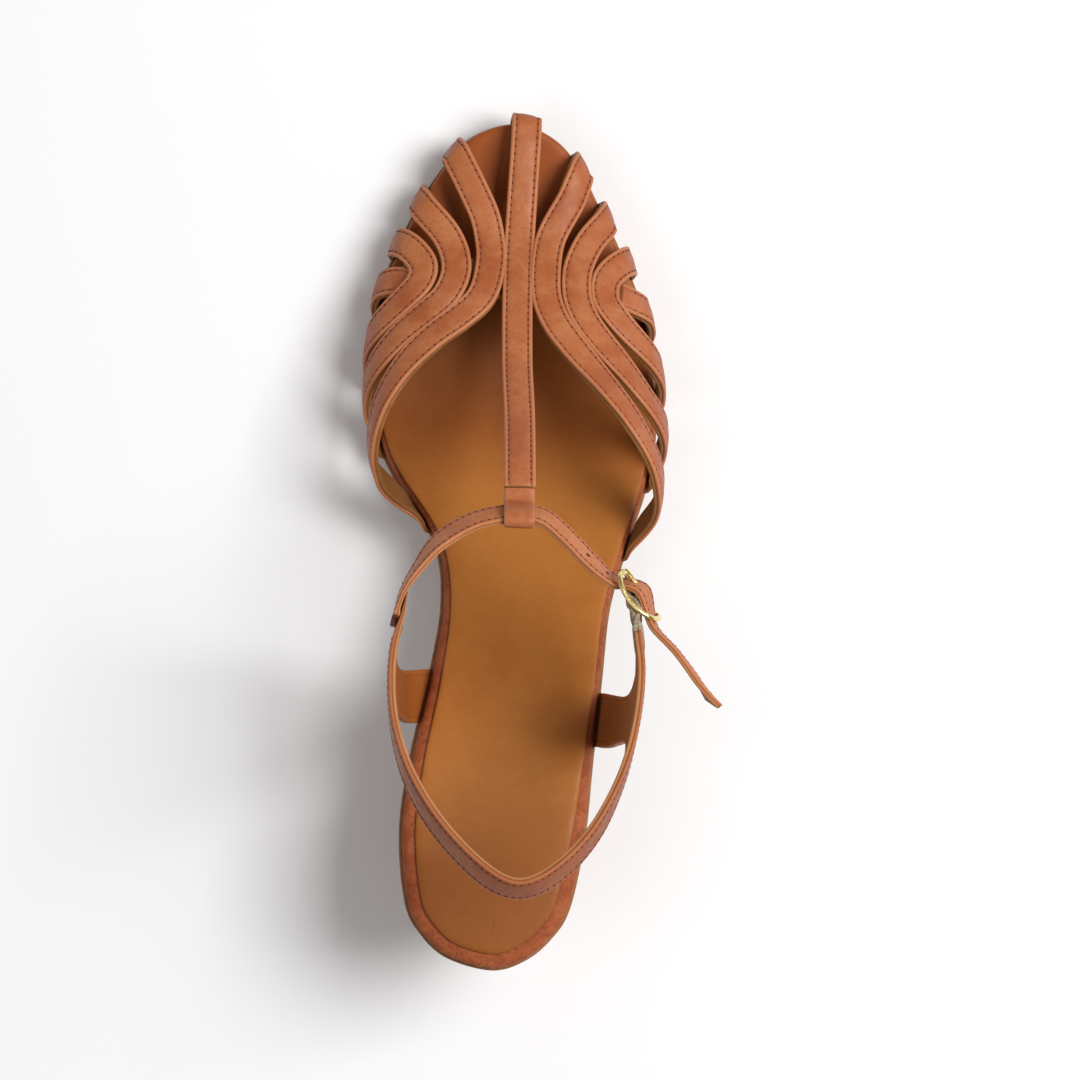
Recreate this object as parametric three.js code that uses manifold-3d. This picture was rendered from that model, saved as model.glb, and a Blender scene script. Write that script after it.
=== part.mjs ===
// T strap sandal, right shoe, on a mid block heel. Millimetres, +X to the outer side of the
// foot, +Y to the toe, +Z up, origin at the middle of the heel's tread.
import * as THREE from "three";
import { mergeVertices } from "three/addons/utils/BufferGeometryUtils.js";
import Module from "manifold-3d";

const wasm = await Module();
wasm.setup();

// Driving sizes of the last and the sole
const footLength = 246;
const ballWidth = 84;
const heelHeight = 53.5;
const toeSpring = 5.5;
const instepHeight = 66;
const sideBulge = 12;
const widestHeight = 18;
const toeFanDepth = footLength * 0.1057;
const toeFanReach = footLength * 0.3455;
const bedThickness = 5;
const outsoleThickness = 3.2;
const outsoleEdge = 1;
const outsoleSoft = 0.5;
const bedSoft = 1.9;
const sockThickness = 0.9;
const sockSoft = 0.35;
const sockInset = 4.1;
const fit = 0.3;
const slotClearance = 0.55;

// Driving sizes of the heel
const heelSeatLength = 57;
const heelTreadLength = 38;
const heelTreadShare = 0.76;
const liftThickness = 5;
const heelInset = 1.2;
const heelBackLean = 0.42;

// Driving sizes of the leather straps
const strapWidth = 8.8;
const strapThickness = 2.4;
const tuckThickness = 1.2;
const tuckLength = 7;
const lipRadius = 1.6;
const rimClearance = 0.5;
const edgeSoftness = 0.55;
const underlayWidth = 13;
const underlayThickness = 0.9;
const underlayTurn = 62;
const underlayWay = 0.255;
const underlayRise = 0.35;
const backStrapThickness = 2.2;
const ankleStrapThickness = 1.9;
const quarterThickness = 1.7;
const ankleWidth = 9;
const loopThickness = 1.6;
const loopWidth = 8.6;
const loopSlack = 1.05;
const barReach = 1.3;
const lapLength = 11;

// Steps along the ankle bands for each row of their tables, and rows of a quarter's tuck
const ankleSteps = 3;
const tuckRows = 5;

// Driving sizes of the buckle
const buckleLength = 18;
const buckleWidth = 14.4;
const buckleWire = 1.6;
const buckleBow = 2;
const buckleLean = 4;
const wireFlatness = 0.42;
const wireSides = 8;
const prongWire = 1.3;
const holeSlack = 1.1;
const elasticWidth = 7.6;
const elasticThickness = 1.2;

const halfBall = ballWidth / 2;
const stack = outsoleThickness + fit + bedThickness;

// Sole line seen from the side: along from the heel end, as shares of the foot length, and
// height, as a share of the heel height behind the ball and of the toe spring before it
const soleRows = [
  { along: 0, heel: 1, toe: 0 },
  { along: 0.12, heel: 0.945, toe: 0 },
  { along: 0.225, heel: 0.86, toe: 0 },
  { along: 0.325, heel: 0.68, toe: 0 },
  { along: 0.425, heel: 0.43, toe: 0 },
  { along: 0.53, heel: 0.2, toe: 0 },
  { along: 0.61, heel: 0.068, toe: 0 },
  { along: 0.66, heel: 0.016, toe: 0 },
  { along: 0.71, heel: 0, toe: 0 },
  { along: 0.82, heel: 0, toe: 0 },
  { along: 0.915, heel: 0, toe: 0.37 },
  { along: 1, heel: 0, toe: 1 },
];

// Footbed outline seen from above: shares of the foot length and of half the ball width
const outlineRows = [
  { along: 1, medial: 0, lateral: 0 },
  { along: 0.994, medial: 0.19, lateral: 0.12 },
  { along: 0.977, medial: 0.37, lateral: 0.285 },
  { along: 0.947, medial: 0.515, lateral: 0.43 },
  { along: 0.903, medial: 0.675, lateral: 0.575 },
  { along: 0.854, medial: 0.805, lateral: 0.73 },
  { along: 0.797, medial: 0.92, lateral: 0.875 },
  { along: 0.723, medial: 0.975, lateral: 0.99 },
  { along: 0.667, medial: 0.965, lateral: 1.03 },
  { along: 0.618, medial: 0.905, lateral: 1.02 },
  { along: 0.573, medial: 0.785, lateral: 0.975 },
  { along: 0.496, medial: 0.485, lateral: 0.84 },
  { along: 0.423, medial: 0.415, lateral: 0.725 },
  { along: 0.337, medial: 0.48, lateral: 0.675 },
  { along: 0.24, medial: 0.593, lateral: 0.624 },
  { along: 0.154, medial: 0.645, lateral: 0.586 },
  { along: 0.073, medial: 0.59, lateral: 0.5 },
  { along: 0.037, medial: 0.476, lateral: 0.381 },
  { along: 0.012, medial: 0.298, lateral: 0.214 },
  { along: 0, medial: 0, lateral: 0 },
];

// The last above the footbed: rise of its ridge as a share of the instep height, how far its
// sides stand out beyond the rim, and how high its widest line runs
const lastRows = [
  { along: 0.405, rise: 1.01, medial: 1, lateral: 0.67, widest: 1, ridge: 0.057 },
  { along: 0.488, rise: 1.01, medial: 0.83, lateral: 0.5, widest: 0.86, ridge: 0.05 },
  { along: 0.528, rise: 0.985, medial: 0.67, lateral: 0.34, widest: 0.78, ridge: 0.047 },
  { along: 0.577, rise: 0.93, medial: 0.33, lateral: 0.17, widest: 0.6, ridge: 0.043 },
  { along: 0.638, rise: 0.758, medial: 0.09, lateral: 0.07, widest: 0.48, ridge: 0.037 },
  { along: 0.711, rise: 0.515, medial: 0, lateral: 0, widest: 0.44, ridge: 0.017 },
  { along: 0.785, rise: 0.358, medial: 0, lateral: 0, widest: 0.38, ridge: 0.01 },
  { along: 0.821, rise: 0.282, medial: 0, lateral: 0, widest: 0.33, ridge: 0.01 },
  { along: 0.858, rise: 0.212, medial: 0, lateral: 0, widest: 0.28, ridge: 0.014 },
  { along: 0.919, rise: 0.142, medial: 0, lateral: 0, widest: 0.22, ridge: 0.024 },
  { along: 1, rise: 0.03, medial: 0, lateral: 0, widest: 0.17, ridge: 0.03 },
];

// Fan straps: reach is the way along the rim from the toe, as a share of the foot length, and
// turn is the angle round the last from its ridge, past 90 down to the rim and 180 tucked in
const fanStraps = {
  medialInner: {
    side: -1,
    rows: [
      { reach: 0.09, turn: 180 },
      { reach: 0.088, turn: 140 },
      { reach: 0.086, turn: 88 },
      { reach: 0.096, turn: 58 },
      { reach: 0.118, turn: 36 },
      { reach: 0.155, turn: 20.5 },
      { reach: 0.205, turn: 13.2 },
      { reach: 0.248, turn: 11.7 },
      { reach: 0.285, turn: 14.2 },
      { reach: 0.312, turn: 22.4 },
      { reach: 0.337, turn: 33.5 },
      { reach: 0.366, turn: 45 },
      { reach: 0.4, turn: 57 },
      { reach: 0.43, turn: 67 },
      { reach: 0.455, turn: 76 },
      { reach: 0.485, turn: 88 },
      { reach: 0.525, turn: 106 },
      { reach: 0.562, turn: 132 },
      { reach: 0.572, turn: 180 },
    ],
  },
  medialMiddle: {
    side: -1,
    rows: [
      { reach: 0.158, turn: 180 },
      { reach: 0.156, turn: 140 },
      { reach: 0.158, turn: 90 },
      { reach: 0.17, turn: 64 },
      { reach: 0.19, turn: 44 },
      { reach: 0.216, turn: 32.5 },
      { reach: 0.25, turn: 26.9 },
      { reach: 0.284, turn: 29.4 },
      { reach: 0.308, turn: 38 },
      { reach: 0.332, turn: 49.5 },
      { reach: 0.356, turn: 61 },
      { reach: 0.384, turn: 76 },
      { reach: 0.414, turn: 96 },
      { reach: 0.444, turn: 124 },
      { reach: 0.462, turn: 150 },
      { reach: 0.466, turn: 180 },
    ],
  },
  medialOuter: {
    side: -1,
    rows: [
      { reach: 0.222, turn: 180 },
      { reach: 0.218, turn: 140 },
      { reach: 0.216, turn: 92 },
      { reach: 0.222, turn: 64 },
      { reach: 0.243, turn: 47 },
      { reach: 0.268, turn: 44.5 },
      { reach: 0.293, turn: 53 },
      { reach: 0.317, turn: 66 },
      { reach: 0.337, turn: 82 },
      { reach: 0.358, turn: 106 },
      { reach: 0.374, turn: 134 },
      { reach: 0.38, turn: 180 },
    ],
  },
  medialShort: {
    side: -1,
    rows: [
      { reach: 0.268, turn: 54 },
      { reach: 0.266, turn: 66 },
      { reach: 0.271, turn: 82 },
      { reach: 0.282, turn: 106 },
      { reach: 0.291, turn: 134 },
      { reach: 0.293, turn: 180 },
    ],
  },
  lateralInner: {
    side: 1,
    rows: [
      { reach: 0.089, turn: 180 },
      { reach: 0.088, turn: 140 },
      { reach: 0.087, turn: 88 },
      { reach: 0.1, turn: 60 },
      { reach: 0.12, turn: 42.4 },
      { reach: 0.146, turn: 27 },
      { reach: 0.176, turn: 18 },
      { reach: 0.216, turn: 13.5 },
      { reach: 0.264, turn: 11.8 },
      { reach: 0.302, turn: 15 },
      { reach: 0.335, turn: 22 },
      { reach: 0.366, turn: 30.6 },
      { reach: 0.4, turn: 41 },
      { reach: 0.437, turn: 53.5 },
      { reach: 0.47, turn: 67 },
      { reach: 0.5, turn: 82 },
      { reach: 0.535, turn: 104 },
      { reach: 0.565, turn: 132 },
      { reach: 0.573, turn: 180 },
    ],
  },
  lateralMiddle: {
    side: 1,
    rows: [
      { reach: 0.156, turn: 180 },
      { reach: 0.154, turn: 140 },
      { reach: 0.155, turn: 90 },
      { reach: 0.167, turn: 64 },
      { reach: 0.188, turn: 43.5 },
      { reach: 0.224, turn: 30.6 },
      { reach: 0.263, turn: 26.3 },
      { reach: 0.296, turn: 28.5 },
      { reach: 0.326, turn: 35.3 },
      { reach: 0.356, turn: 45 },
      { reach: 0.389, turn: 57.4 },
      { reach: 0.418, turn: 74 },
      { reach: 0.446, turn: 97 },
      { reach: 0.47, turn: 126 },
      { reach: 0.482, turn: 152 },
      { reach: 0.485, turn: 180 },
    ],
  },
  lateralOuter: {
    side: 1,
    rows: [
      { reach: 0.222, turn: 180 },
      { reach: 0.218, turn: 140 },
      { reach: 0.215, turn: 92 },
      { reach: 0.222, turn: 64 },
      { reach: 0.24, turn: 47.2 },
      { reach: 0.266, turn: 41.5 },
      { reach: 0.29, turn: 45.2 },
      { reach: 0.318, turn: 56 },
      { reach: 0.345, turn: 74 },
      { reach: 0.368, turn: 97 },
      { reach: 0.388, turn: 130 },
      { reach: 0.395, turn: 180 },
    ],
  },
  lateralShort: {
    side: 1,
    rows: [
      { reach: 0.262, turn: 55 },
      { reach: 0.271, turn: 69 },
      { reach: 0.282, turn: 86 },
      { reach: 0.292, turn: 108 },
      { reach: 0.3, turn: 134 },
      { reach: 0.302, turn: 180 },
    ],
  },
};

// Back strap round the heel, from the inner side round the back to the outer side: shares of the
// foot length and half ball width, height above the footbed as a share of the instep height, how
// far the band leans in from upright, in degrees, and how far it is off its line, as a share of
// the ankle bands' thickness
const backStrapRows = [
  { along: 0.428, across: -0.7, up: 0.92, lean: 14, out: -0.33 },
  { along: 0.385, across: -0.745, up: 0.9, lean: 10, out: -0.3 },
  { along: 0.343, across: -0.766, up: 0.87, lean: 8, out: 0 },
  { along: 0.297, across: -0.748, up: 0.83, lean: 8, out: 0 },
  { along: 0.252, across: -0.686, up: 0.8, lean: 14, out: 0 },
  { along: 0.212, across: -0.585, up: 0.785, lean: 21, out: 0 },
  { along: 0.175, across: -0.44, up: 0.785, lean: 27, out: 0 },
  { along: 0.142, across: -0.262, up: 0.8, lean: 31, out: 0 },
  { along: 0.116, across: -0.07, up: 0.815, lean: 34, out: 0 },
  { along: 0.106, across: 0.095, up: 0.82, lean: 34, out: 0 },
  { along: 0.113, across: 0.26, up: 0.82, lean: 33, out: 0 },
  { along: 0.138, across: 0.45, up: 0.805, lean: 29, out: 0 },
  { along: 0.175, across: 0.62, up: 0.79, lean: 22, out: 0 },
  { along: 0.222, across: 0.75, up: 0.785, lean: 12, out: 0 },
  { along: 0.268, across: 0.83, up: 0.8, lean: 4, out: 0 },
  { along: 0.312, across: 0.866, up: 0.83, lean: -2, out: 0 },
  { along: 0.354, across: 0.878, up: 0.865, lean: -2, out: 0 },
  { along: 0.392, across: 0.862, up: 0.89, lean: 4, out: 0 },
];

// Ankle strap, from the tip of its tail through the buckle and over the instep to the inner side
const ankleStrapRows = [
  { along: 0.32, across: 1.395, up: 0.6, lean: -6, out: 0 },
  { along: 0.345, across: 1.27, up: 0.7, lean: 6, out: 0 },
  { along: 0.376, across: 1.12, up: 0.8, lean: 4, out: 0 },
  { along: 0.4035, across: 1.016, up: 0.87, lean: 8, out: -0.62 },
  { along: 0.427, across: 0.885, up: 0.9, lean: 22, out: 1.08 },
  { along: 0.45, across: 0.748, up: 0.93, lean: 17, out: -0.88 },
  { along: 0.476, across: 0.55, up: 0.96, lean: 26, out: 0 },
  { along: 0.5055, across: 0.37, up: 0.975, lean: 28, out: 0 },
  { along: 0.5235, across: 0.2, up: 0.98, lean: 29, out: 0 },
  { along: 0.526, across: 0.0, up: 0.98, lean: 29, out: 0 },
  { along: 0.516, across: -0.25, up: 0.975, lean: 29, out: 0 },
  { along: 0.492, across: -0.47, up: 0.96, lean: 27, out: 0 },
  { along: 0.462, across: -0.6, up: 0.945, lean: 20, out: 0.12 },
  { along: 0.43, across: -0.695, up: 0.92, lean: 14, out: 0.36 },
  { along: 0.398, across: -0.74, up: 0.905, lean: 10, out: 0.4 },
];

// Quarters, the side tabs that carry the back strap, from the rim to the band: shares of the way
// up and out from the rim to the back strap, shift along the foot as a share of its length, and
// width as a share of the tab's own width
const quarterWidth = 15.5;
const quarterRows = {
  medialQuarter: {
    side: -1,
    foot: 0.311,
    rows: [
      { up: 0.03, out: 0.12, slide: 0, wide: 1 },
      { up: 0.16, out: 0.5, slide: 0, wide: 0.96 },
      { up: 0.34, out: 0.76, slide: 0.002, wide: 0.88 },
      { up: 0.52, out: 0.89, slide: 0.006, wide: 0.87 },
      { up: 0.69, out: 0.95, slide: 0.01, wide: 0.96 },
      { up: 0.82, out: 0.98, slide: 0.014, wide: 1.16 },
      { up: 0.92, out: 1, slide: 0.017, wide: 1.55 },
      { up: 0.97, out: 1, slide: 0.018, wide: 1.9 },
    ],
  },
  lateralQuarter: {
    side: 1,
    foot: 0.291,
    rows: [
      { up: 0.03, out: 0.1, slide: 0, wide: 1 },
      { up: 0.16, out: 0.42, slide: 0, wide: 0.96 },
      { up: 0.34, out: 0.71, slide: 0.002, wide: 0.88 },
      { up: 0.52, out: 0.86, slide: 0.005, wide: 0.87 },
      { up: 0.68, out: 0.93, slide: 0.008, wide: 0.96 },
      { up: 0.81, out: 0.97, slide: 0.011, wide: 1.16 },
      { up: 0.91, out: 1, slide: 0.013, wide: 1.55 },
      { up: 0.97, out: 1, slide: 0.014, wide: 1.9 },
    ],
  },
};

// Heel block, from the lift up: shares of the heel height, of the seat's size and its shift
const heelRows = [
  { up: 0, size: 0, lean: 0 },
  { up: 0.25, size: 0.14, lean: 0.12 },
  { up: 0.5, size: 0.36, lean: 0.34 },
  { up: 0.75, size: 0.68, lean: 0.66 },
  { up: 1.12, size: 1, lean: 1 },
];

// Sock lining: how far its edge stays in from the rim, as a share of its inset at the heel
const sockRows = [
  { along: 0, medial: 1, lateral: 1 },
  { along: 0.12, medial: 0.93, lateral: 0.88 },
  { along: 0.25, medial: 0.8, lateral: 0.54 },
  { along: 0.35, medial: 0.63, lateral: 0.37 },
  { along: 0.5, medial: 0.39, lateral: 0.34 },
  { along: 0.65, medial: 0.34, lateral: 0.29 },
  { along: 0.76, medial: 0.22, lateral: 0.2 },
  { along: 0.84, medial: 0.08, lateral: 0.08 },
  { along: 1, medial: 0.08, lateral: 0.08 },
];

// The same inset all round
const evenRows = [
  { along: 0, medial: 1, lateral: 1 },
  { along: 1, medial: 1, lateral: 1 },
];

// Interpolation through table rows, level where neighbouring rows are level
function through(rows, key, at, by = "along") {
  const sorted = [...rows].sort((a, b) => a[by] - b[by]);
  const x = sorted.map((row) => row[by]);
  const y = sorted.map((row) => row[key]);
  const slope = x.slice(1).map((value, i) => (y[i + 1] - y[i]) / (value - x[i]));
  const tangent = x.map((value, i) => {
    if (i === 0) return slope[0];
    if (i === x.length - 1) return slope[i - 1];
    const product = slope[i - 1] * slope[i];
    return product <= 0 ? 0 : (2 * product) / (slope[i - 1] + slope[i]);
  });
  const place = Math.min(Math.max(at, x[0]), x[x.length - 1]);
  let i = 0;
  while (i < x.length - 2 && x[i + 1] < place) i += 1;
  const h = x[i + 1] - x[i];
  const t = (place - x[i]) / h;
  return (
    y[i] * (1 + 2 * t) * (1 - t) ** 2 +
    tangent[i] * h * t * (1 - t) ** 2 +
    y[i + 1] * t * t * (3 - 2 * t) +
    tangent[i + 1] * h * t * t * (t - 1)
  );
}

// Smooth value of a table column at a running row number
function flow(rows, key, at) {
  const last = rows.length - 1;
  const i = Math.min(Math.floor(at), last - 1);
  const t = at - i;
  const value = (k) => rows[Math.min(Math.max(k, 0), last)][key];
  const [a, b, c, d] = [value(i - 1), value(i), value(i + 1), value(i + 2)];
  const square = 2 * a - 5 * b + 4 * c - d;
  const cube = 3 * b - a - 3 * c + d;
  return 0.5 * (2 * b + (c - a) * t + square * t * t + cube * t ** 3);
}

// Underside of the sole and top of the footbed, by distance from the heel end
function soleLine(y) {
  const share = y / footLength;
  return through(soleRows, "heel", share) * heelHeight + through(soleRows, "toe", share) * toeSpring;
}

function bedLine(y) {
  return soleLine(Math.min(Math.max(y, 0), footLength)) + stack;
}

// Rim of the footbed on one side, from the toe tip to the heel end, with its running length
function traceRim(side) {
  const key = side < 0 ? "medial" : "lateral";
  const other = side < 0 ? "lateral" : "medial";
  const rows = outlineRows.map((row) => ({ x: side * row[key], y: row.along }));
  rows.unshift({ x: -side * outlineRows[1][other], y: outlineRows[1].along });
  const tail = outlineRows[outlineRows.length - 2];
  rows.push({ x: -side * tail[other], y: tail.along });
  const stepsPerRow = 8;
  const points = [];
  for (let k = stepsPerRow; k <= (rows.length - 2) * stepsPerRow; k += 1) {
    const at = k / stepsPerRow;
    points.push(new THREE.Vector2(flow(rows, "x", at) * halfBall, flow(rows, "y", at) * footLength));
  }
  const lengths = [0];
  for (let k = 1; k < points.length; k += 1) {
    lengths.push(lengths[k - 1] + points[k].distanceTo(points[k - 1]));
  }
  return { points, lengths };
}

const rims = { "-1": traceRim(-1), 1: traceRim(1) };

// Half width of the footbed at a distance from the heel end
function halfWidth(side, y) {
  const { points } = rims[side];
  let k = 0;
  while (k < points.length - 2 && points[k + 1].y > y) k += 1;
  const [a, b] = [points[k], points[k + 1]];
  const t = Math.min(Math.max((y - a.y) / (b.y - a.y || 1), 0), 1);
  return Math.abs(a.x + (b.x - a.x) * t);
}

// A place on the rim and its outward direction, by the way from the toe tip
function rimPlace(side, way) {
  const { points, lengths } = rims[side];
  let k = 0;
  while (k < points.length - 2 && lengths[k + 1] < way) k += 1;
  const t = (way - lengths[k]) / (lengths[k + 1] - lengths[k]);
  const point = points[k].clone().lerp(points[k + 1], t);
  const ahead = points[Math.min(k + 5, points.length - 1)];
  const behind = points[Math.max(k - 4, 0)];
  const along = ahead.clone().sub(behind).normalize();
  const outward = new THREE.Vector2(-along.y * side, along.x * side);
  if (k < 5) outward.lerp(new THREE.Vector2(0, 1), 1 - k / 5).normalize();
  return { point, outward };
}

// The last: a point by the way along the rim and the turn round from the ridge, in degrees
const sideTurn = 140;
const lipTurn = 160;
const roundness = 0.95;

function lastPoint(side, way, turn) {
  const { point, outward } = rimPlace(side, way);
  const fan = way < toeFanReach ? toeFanDepth * (1 - way / toeFanReach) ** 2 : 0;
  const ridgeY = point.y - fan;
  const ridgeX = through(lastRows, "ridge", ridgeY / footLength) * halfBall;
  const share = point.y / footLength;
  const bulge = through(lastRows, side < 0 ? "medial" : "lateral", share) * sideBulge;
  const wide = point.clone().addScaledVector(outward, bulge + rimClearance);
  const widest = through(lastRows, "widest", share) * widestHeight;
  const radians = THREE.MathUtils.degToRad(turn);
  if (turn <= 90) {
    const topZ = bedLine(ridgeY) + through(lastRows, "rise", ridgeY / footLength) * instepHeight;
    const outShare = Math.sin(radians) ** roundness;
    const upShare = Math.max(Math.cos(radians), 0) ** roundness;
    const wideZ = bedLine(wide.y) + widest;
    return new THREE.Vector3(
      ridgeX + (wide.x - ridgeX) * outShare,
      ridgeY + (wide.y - ridgeY) * outShare,
      wideZ + (topZ - wideZ) * upShare,
    );
  }
  const lip = lipRadius - bedThickness - fit;
  let out = rimClearance;
  let up = lip;
  if (turn <= sideTurn) {
    const t = (turn - 90) / (sideTurn - 90);
    const fall = 2.1 * t * (1 - t) ** 2 + t * t * (3 - 2 * t) - 0.5 * t * t * (1 - t);
    up = widest + (lip - widest) * fall;
    const k = THREE.MathUtils.clamp(up / widest, 0, 1);
    out += bulge * k * k * (3 - 2 * k);
  } else {
    const arc = Math.min((turn - sideTurn) / (lipTurn - sideTurn), 1) * (Math.PI / 2);
    out += lipRadius * (Math.cos(arc) - 1);
    up -= lipRadius * Math.sin(arc);
    out -= tuckLength * Math.max((turn - lipTurn) / (180 - lipTurn), 0);
  }
  const place = point.addScaledVector(outward, out);
  return new THREE.Vector3(place.x, place.y, bedLine(place.y) + up);
}

// Outward direction of the last's surface at a place
function lastNormal(side, way, turn) {
  const step = 0.5;
  const lowTurn = Math.max(turn - step, 0.01);
  const alongRim = lastPoint(side, way + step, turn).sub(lastPoint(side, way - step, turn));
  const round = lastPoint(side, way, turn + step).sub(lastPoint(side, way, lowTurn));
  return alongRim.cross(round).multiplyScalar(side).normalize();
}

// Closed faceted body through rings of points, with flat ends unless the rings join up
function bodyThroughRings(rings, joined = false) {
  const count = rings[0].length;
  const positions = rings.flat().flatMap((point) => [point.x, point.y, point.z]);
  const faces = [];
  const bands = joined ? rings.length : rings.length - 1;
  for (let i = 0; i < bands; i += 1) {
    for (let k = 0; k < count; k += 1) {
      const a = i * count + k;
      const b = i * count + ((k + 1) % count);
      const c = ((i + 1) % rings.length) * count + ((k + 1) % count);
      const d = ((i + 1) % rings.length) * count + k;
      faces.push(a, b, c, a, c, d);
    }
  }
  if (!joined) {
    const end = (rings.length - 1) * count;
    for (let k = 1; k < count - 1; k += 1) {
      faces.push(0, k + 1, k, end, end + k, end + k + 1);
    }
  }
  const geometry = new THREE.BufferGeometry();
  geometry.setAttribute("position", new THREE.Float32BufferAttribute(positions, 3));
  geometry.setIndex(faces);
  return outwardFaces(geometry);
}

// The same body with its faces turned outward, judged by its volume
function outwardFaces(geometry) {
  const index = geometry.getIndex();
  const position = geometry.getAttribute("position");
  const [a, b, c] = [new THREE.Vector3(), new THREE.Vector3(), new THREE.Vector3()];
  let volume = 0;
  for (let i = 0; i < index.count; i += 3) {
    a.fromBufferAttribute(position, index.getX(i));
    b.fromBufferAttribute(position, index.getX(i + 1));
    c.fromBufferAttribute(position, index.getX(i + 2));
    volume += a.dot(b.cross(c));
  }
  if (volume < 0) {
    for (let i = 0; i < index.count; i += 3) {
      const first = index.getX(i);
      index.setX(i, index.getX(i + 1));
      index.setX(i + 1, first);
    }
  }
  return geometry;
}

function toSolid(geometry) {
  const bare = geometry.clone();
  bare.deleteAttribute("normal");
  bare.deleteAttribute("uv");
  const merged = mergeVertices(bare, 1e-4);
  return new wasm.Manifold(
    new wasm.Mesh({
      numProp: 3,
      vertProperties: new Float32Array(merged.getAttribute("position").array),
      triVerts: new Uint32Array(merged.getIndex().array),
    }),
  );
}

function toGeometry(solid) {
  const mesh = solid.getMesh();
  const geometry = new THREE.BufferGeometry();
  geometry.setAttribute("position", new THREE.Float32BufferAttribute(mesh.vertProperties, 3));
  geometry.setIndex(Array.from(mesh.triVerts));
  return geometry;
}

// The largest body of a solid, without the slivers that a cut can leave
function mainBody(solid) {
  return solid.decompose().reduce((best, body) => (body.volume() > best.volume() ? body : best));
}

function joinAll(solids) {
  return solids.reduce((whole, solid) => whole.add(solid));
}

// A flat band through frames that hold its middle, face direction, edge direction and size
function band(frames, joined = false) {
  const rings = frames.map(({ middle, face, edge, width, low, high }) => {
    const half = width / 2;
    const soft = Math.min(edgeSoftness, (high - low) * 0.3);
    const corners = [
      [-half, low], [half, low], [half, high - soft],
      [half - soft, high], [-half + soft, high], [-half, high - soft],
    ];
    return corners.map(([across, up]) =>
      middle.clone().addScaledVector(edge, across).addScaledVector(face, up),
    );
  });
  return bodyThroughRings(rings, joined);
}

// Frames of a band from its middle line and face directions
function framesAlong(middles, faces, sizes) {
  return middles.map((middle, i) => {
    const next = middles[Math.min(i + 1, middles.length - 1)];
    const before = middles[Math.max(i - 1, 0)];
    const along = next.clone().sub(before).normalize();
    const edge = faces[i].clone().cross(along).normalize();
    const face = along.clone().cross(edge).normalize();
    return { middle, face, edge, ...sizes[i] };
  });
}

// The same frames with both ends moved outward
function lengthen(frames, extra) {
  const last = frames.length - 1;
  for (const [end, inner] of [[0, 1], [last, last - 1]]) {
    const outward = frames[end].middle.clone().sub(frames[inner].middle).normalize();
    frames[end].middle = frames[end].middle.clone().addScaledVector(outward, extra);
  }
  return frames;
}

// One fan strap on the last, skived thin where it is tucked in under the footbed
function fanStrap({ side, rows }, extra = 0) {
  const stepsPerRow = 2;
  const middles = [];
  const faces = [];
  const sizes = [];
  for (let k = 0; k <= (rows.length - 1) * stepsPerRow; k += 1) {
    const at = k / stepsPerRow;
    const way = flow(rows, "reach", at) * footLength;
    const turn = THREE.MathUtils.clamp(flow(rows, "turn", at), 0, 180);
    const thin = THREE.MathUtils.smoothstep(turn, 104, 150);
    middles.push(lastPoint(side, way, turn));
    faces.push(lastNormal(side, way, Math.min(turn, 179)));
    sizes.push({
      width: strapWidth + 2 * extra,
      low: -extra,
      high: strapThickness + (tuckThickness - strapThickness) * thin + extra,
    });
  }
  return band(lengthen(framesAlong(middles, faces, sizes), extra));
}

// The bar of the T: tucked in at the toe, along the ridge, and looped round the ankle strap
function barFrames(extra = 0) {
  const middles = [];
  const faces = [];
  const sizes = [];
  const toeTurns = [180, 170, 160, 155, 150, 145, 140, 125, 110, 98, 90, 80, 68, 56, 44, 32, 21, 10];
  for (const turn of toeTurns) {
    const thin = THREE.MathUtils.smoothstep(turn, 104, 150);
    middles.push(lastPoint(1, barReach, turn));
    faces.push(lastNormal(1, 0.6, Math.min(turn, 179)).setX(0).normalize());
    sizes.push({
      width: strapWidth + 2 * extra,
      low: -extra,
      high: strapThickness + (tuckThickness - strapThickness) * thin + extra,
    });
  }
  const ridgeSteps = 22;
  const startY = footLength - toeFanDepth;
  for (let k = 0; k <= ridgeSteps; k += 1) {
    const y = startY + (loopStartY - startY) * (k / ridgeSteps);
    middles.push(ridgePoint(y));
    faces.push(new THREE.Vector3(0, 0, 1));
    sizes.push({ width: strapWidth + 2 * extra, low: -extra, high: strapThickness + extra });
  }
  return lengthen(framesAlong(middles, faces, sizes), extra);
}

function ridgePoint(y) {
  const share = y / footLength;
  return new THREE.Vector3(
    through(lastRows, "ridge", share) * halfBall,
    y,
    bedLine(y) + through(lastRows, "rise", share) * instepHeight,
  );
}

// A place off the footbed, from shares
function shoePlace(row) {
  const y = row.along * footLength;
  return new THREE.Vector3(row.across * halfBall, y, bedLine(y) + row.up * instepHeight);
}

// Frames of an ankle band from its table
function ankleFrames(rows, width, thickness) {
  const steps = (rows.length - 1) * ankleSteps;
  const spots = [];
  for (let k = 0; k <= steps; k += 1) {
    const at = k / ankleSteps;
    const row = {};
    for (const key of Object.keys(rows[0])) row[key] = flow(rows, key, at);
    spots.push({ row, point: shoePlace(row) });
  }
  return spots.map(({ row, point }, i) => {
    const next = spots[Math.min(i + 1, steps)].point;
    const before = spots[Math.max(i - 1, 0)].point;
    const along = next.clone().sub(before).normalize();
    const level = new THREE.Vector3(along.x, along.y, 0).normalize();
    const outward = level.clone().cross(new THREE.Vector3(0, 0, 1));
    const lean = THREE.MathUtils.degToRad(row.lean);
    const tilted = new THREE.Vector3(0, 0, Math.cos(lean));
    tilted.addScaledVector(outward, -Math.sin(lean));
    const edge = tilted.addScaledVector(along, -tilted.dot(along)).normalize();
    const face = along.clone().cross(edge).normalize();
    const middle = point.clone().addScaledVector(face, row.out * backStrapThickness);
    return { middle, face, edge, width, low: -thickness / 2, high: thickness / 2 };
  });
}

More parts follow.
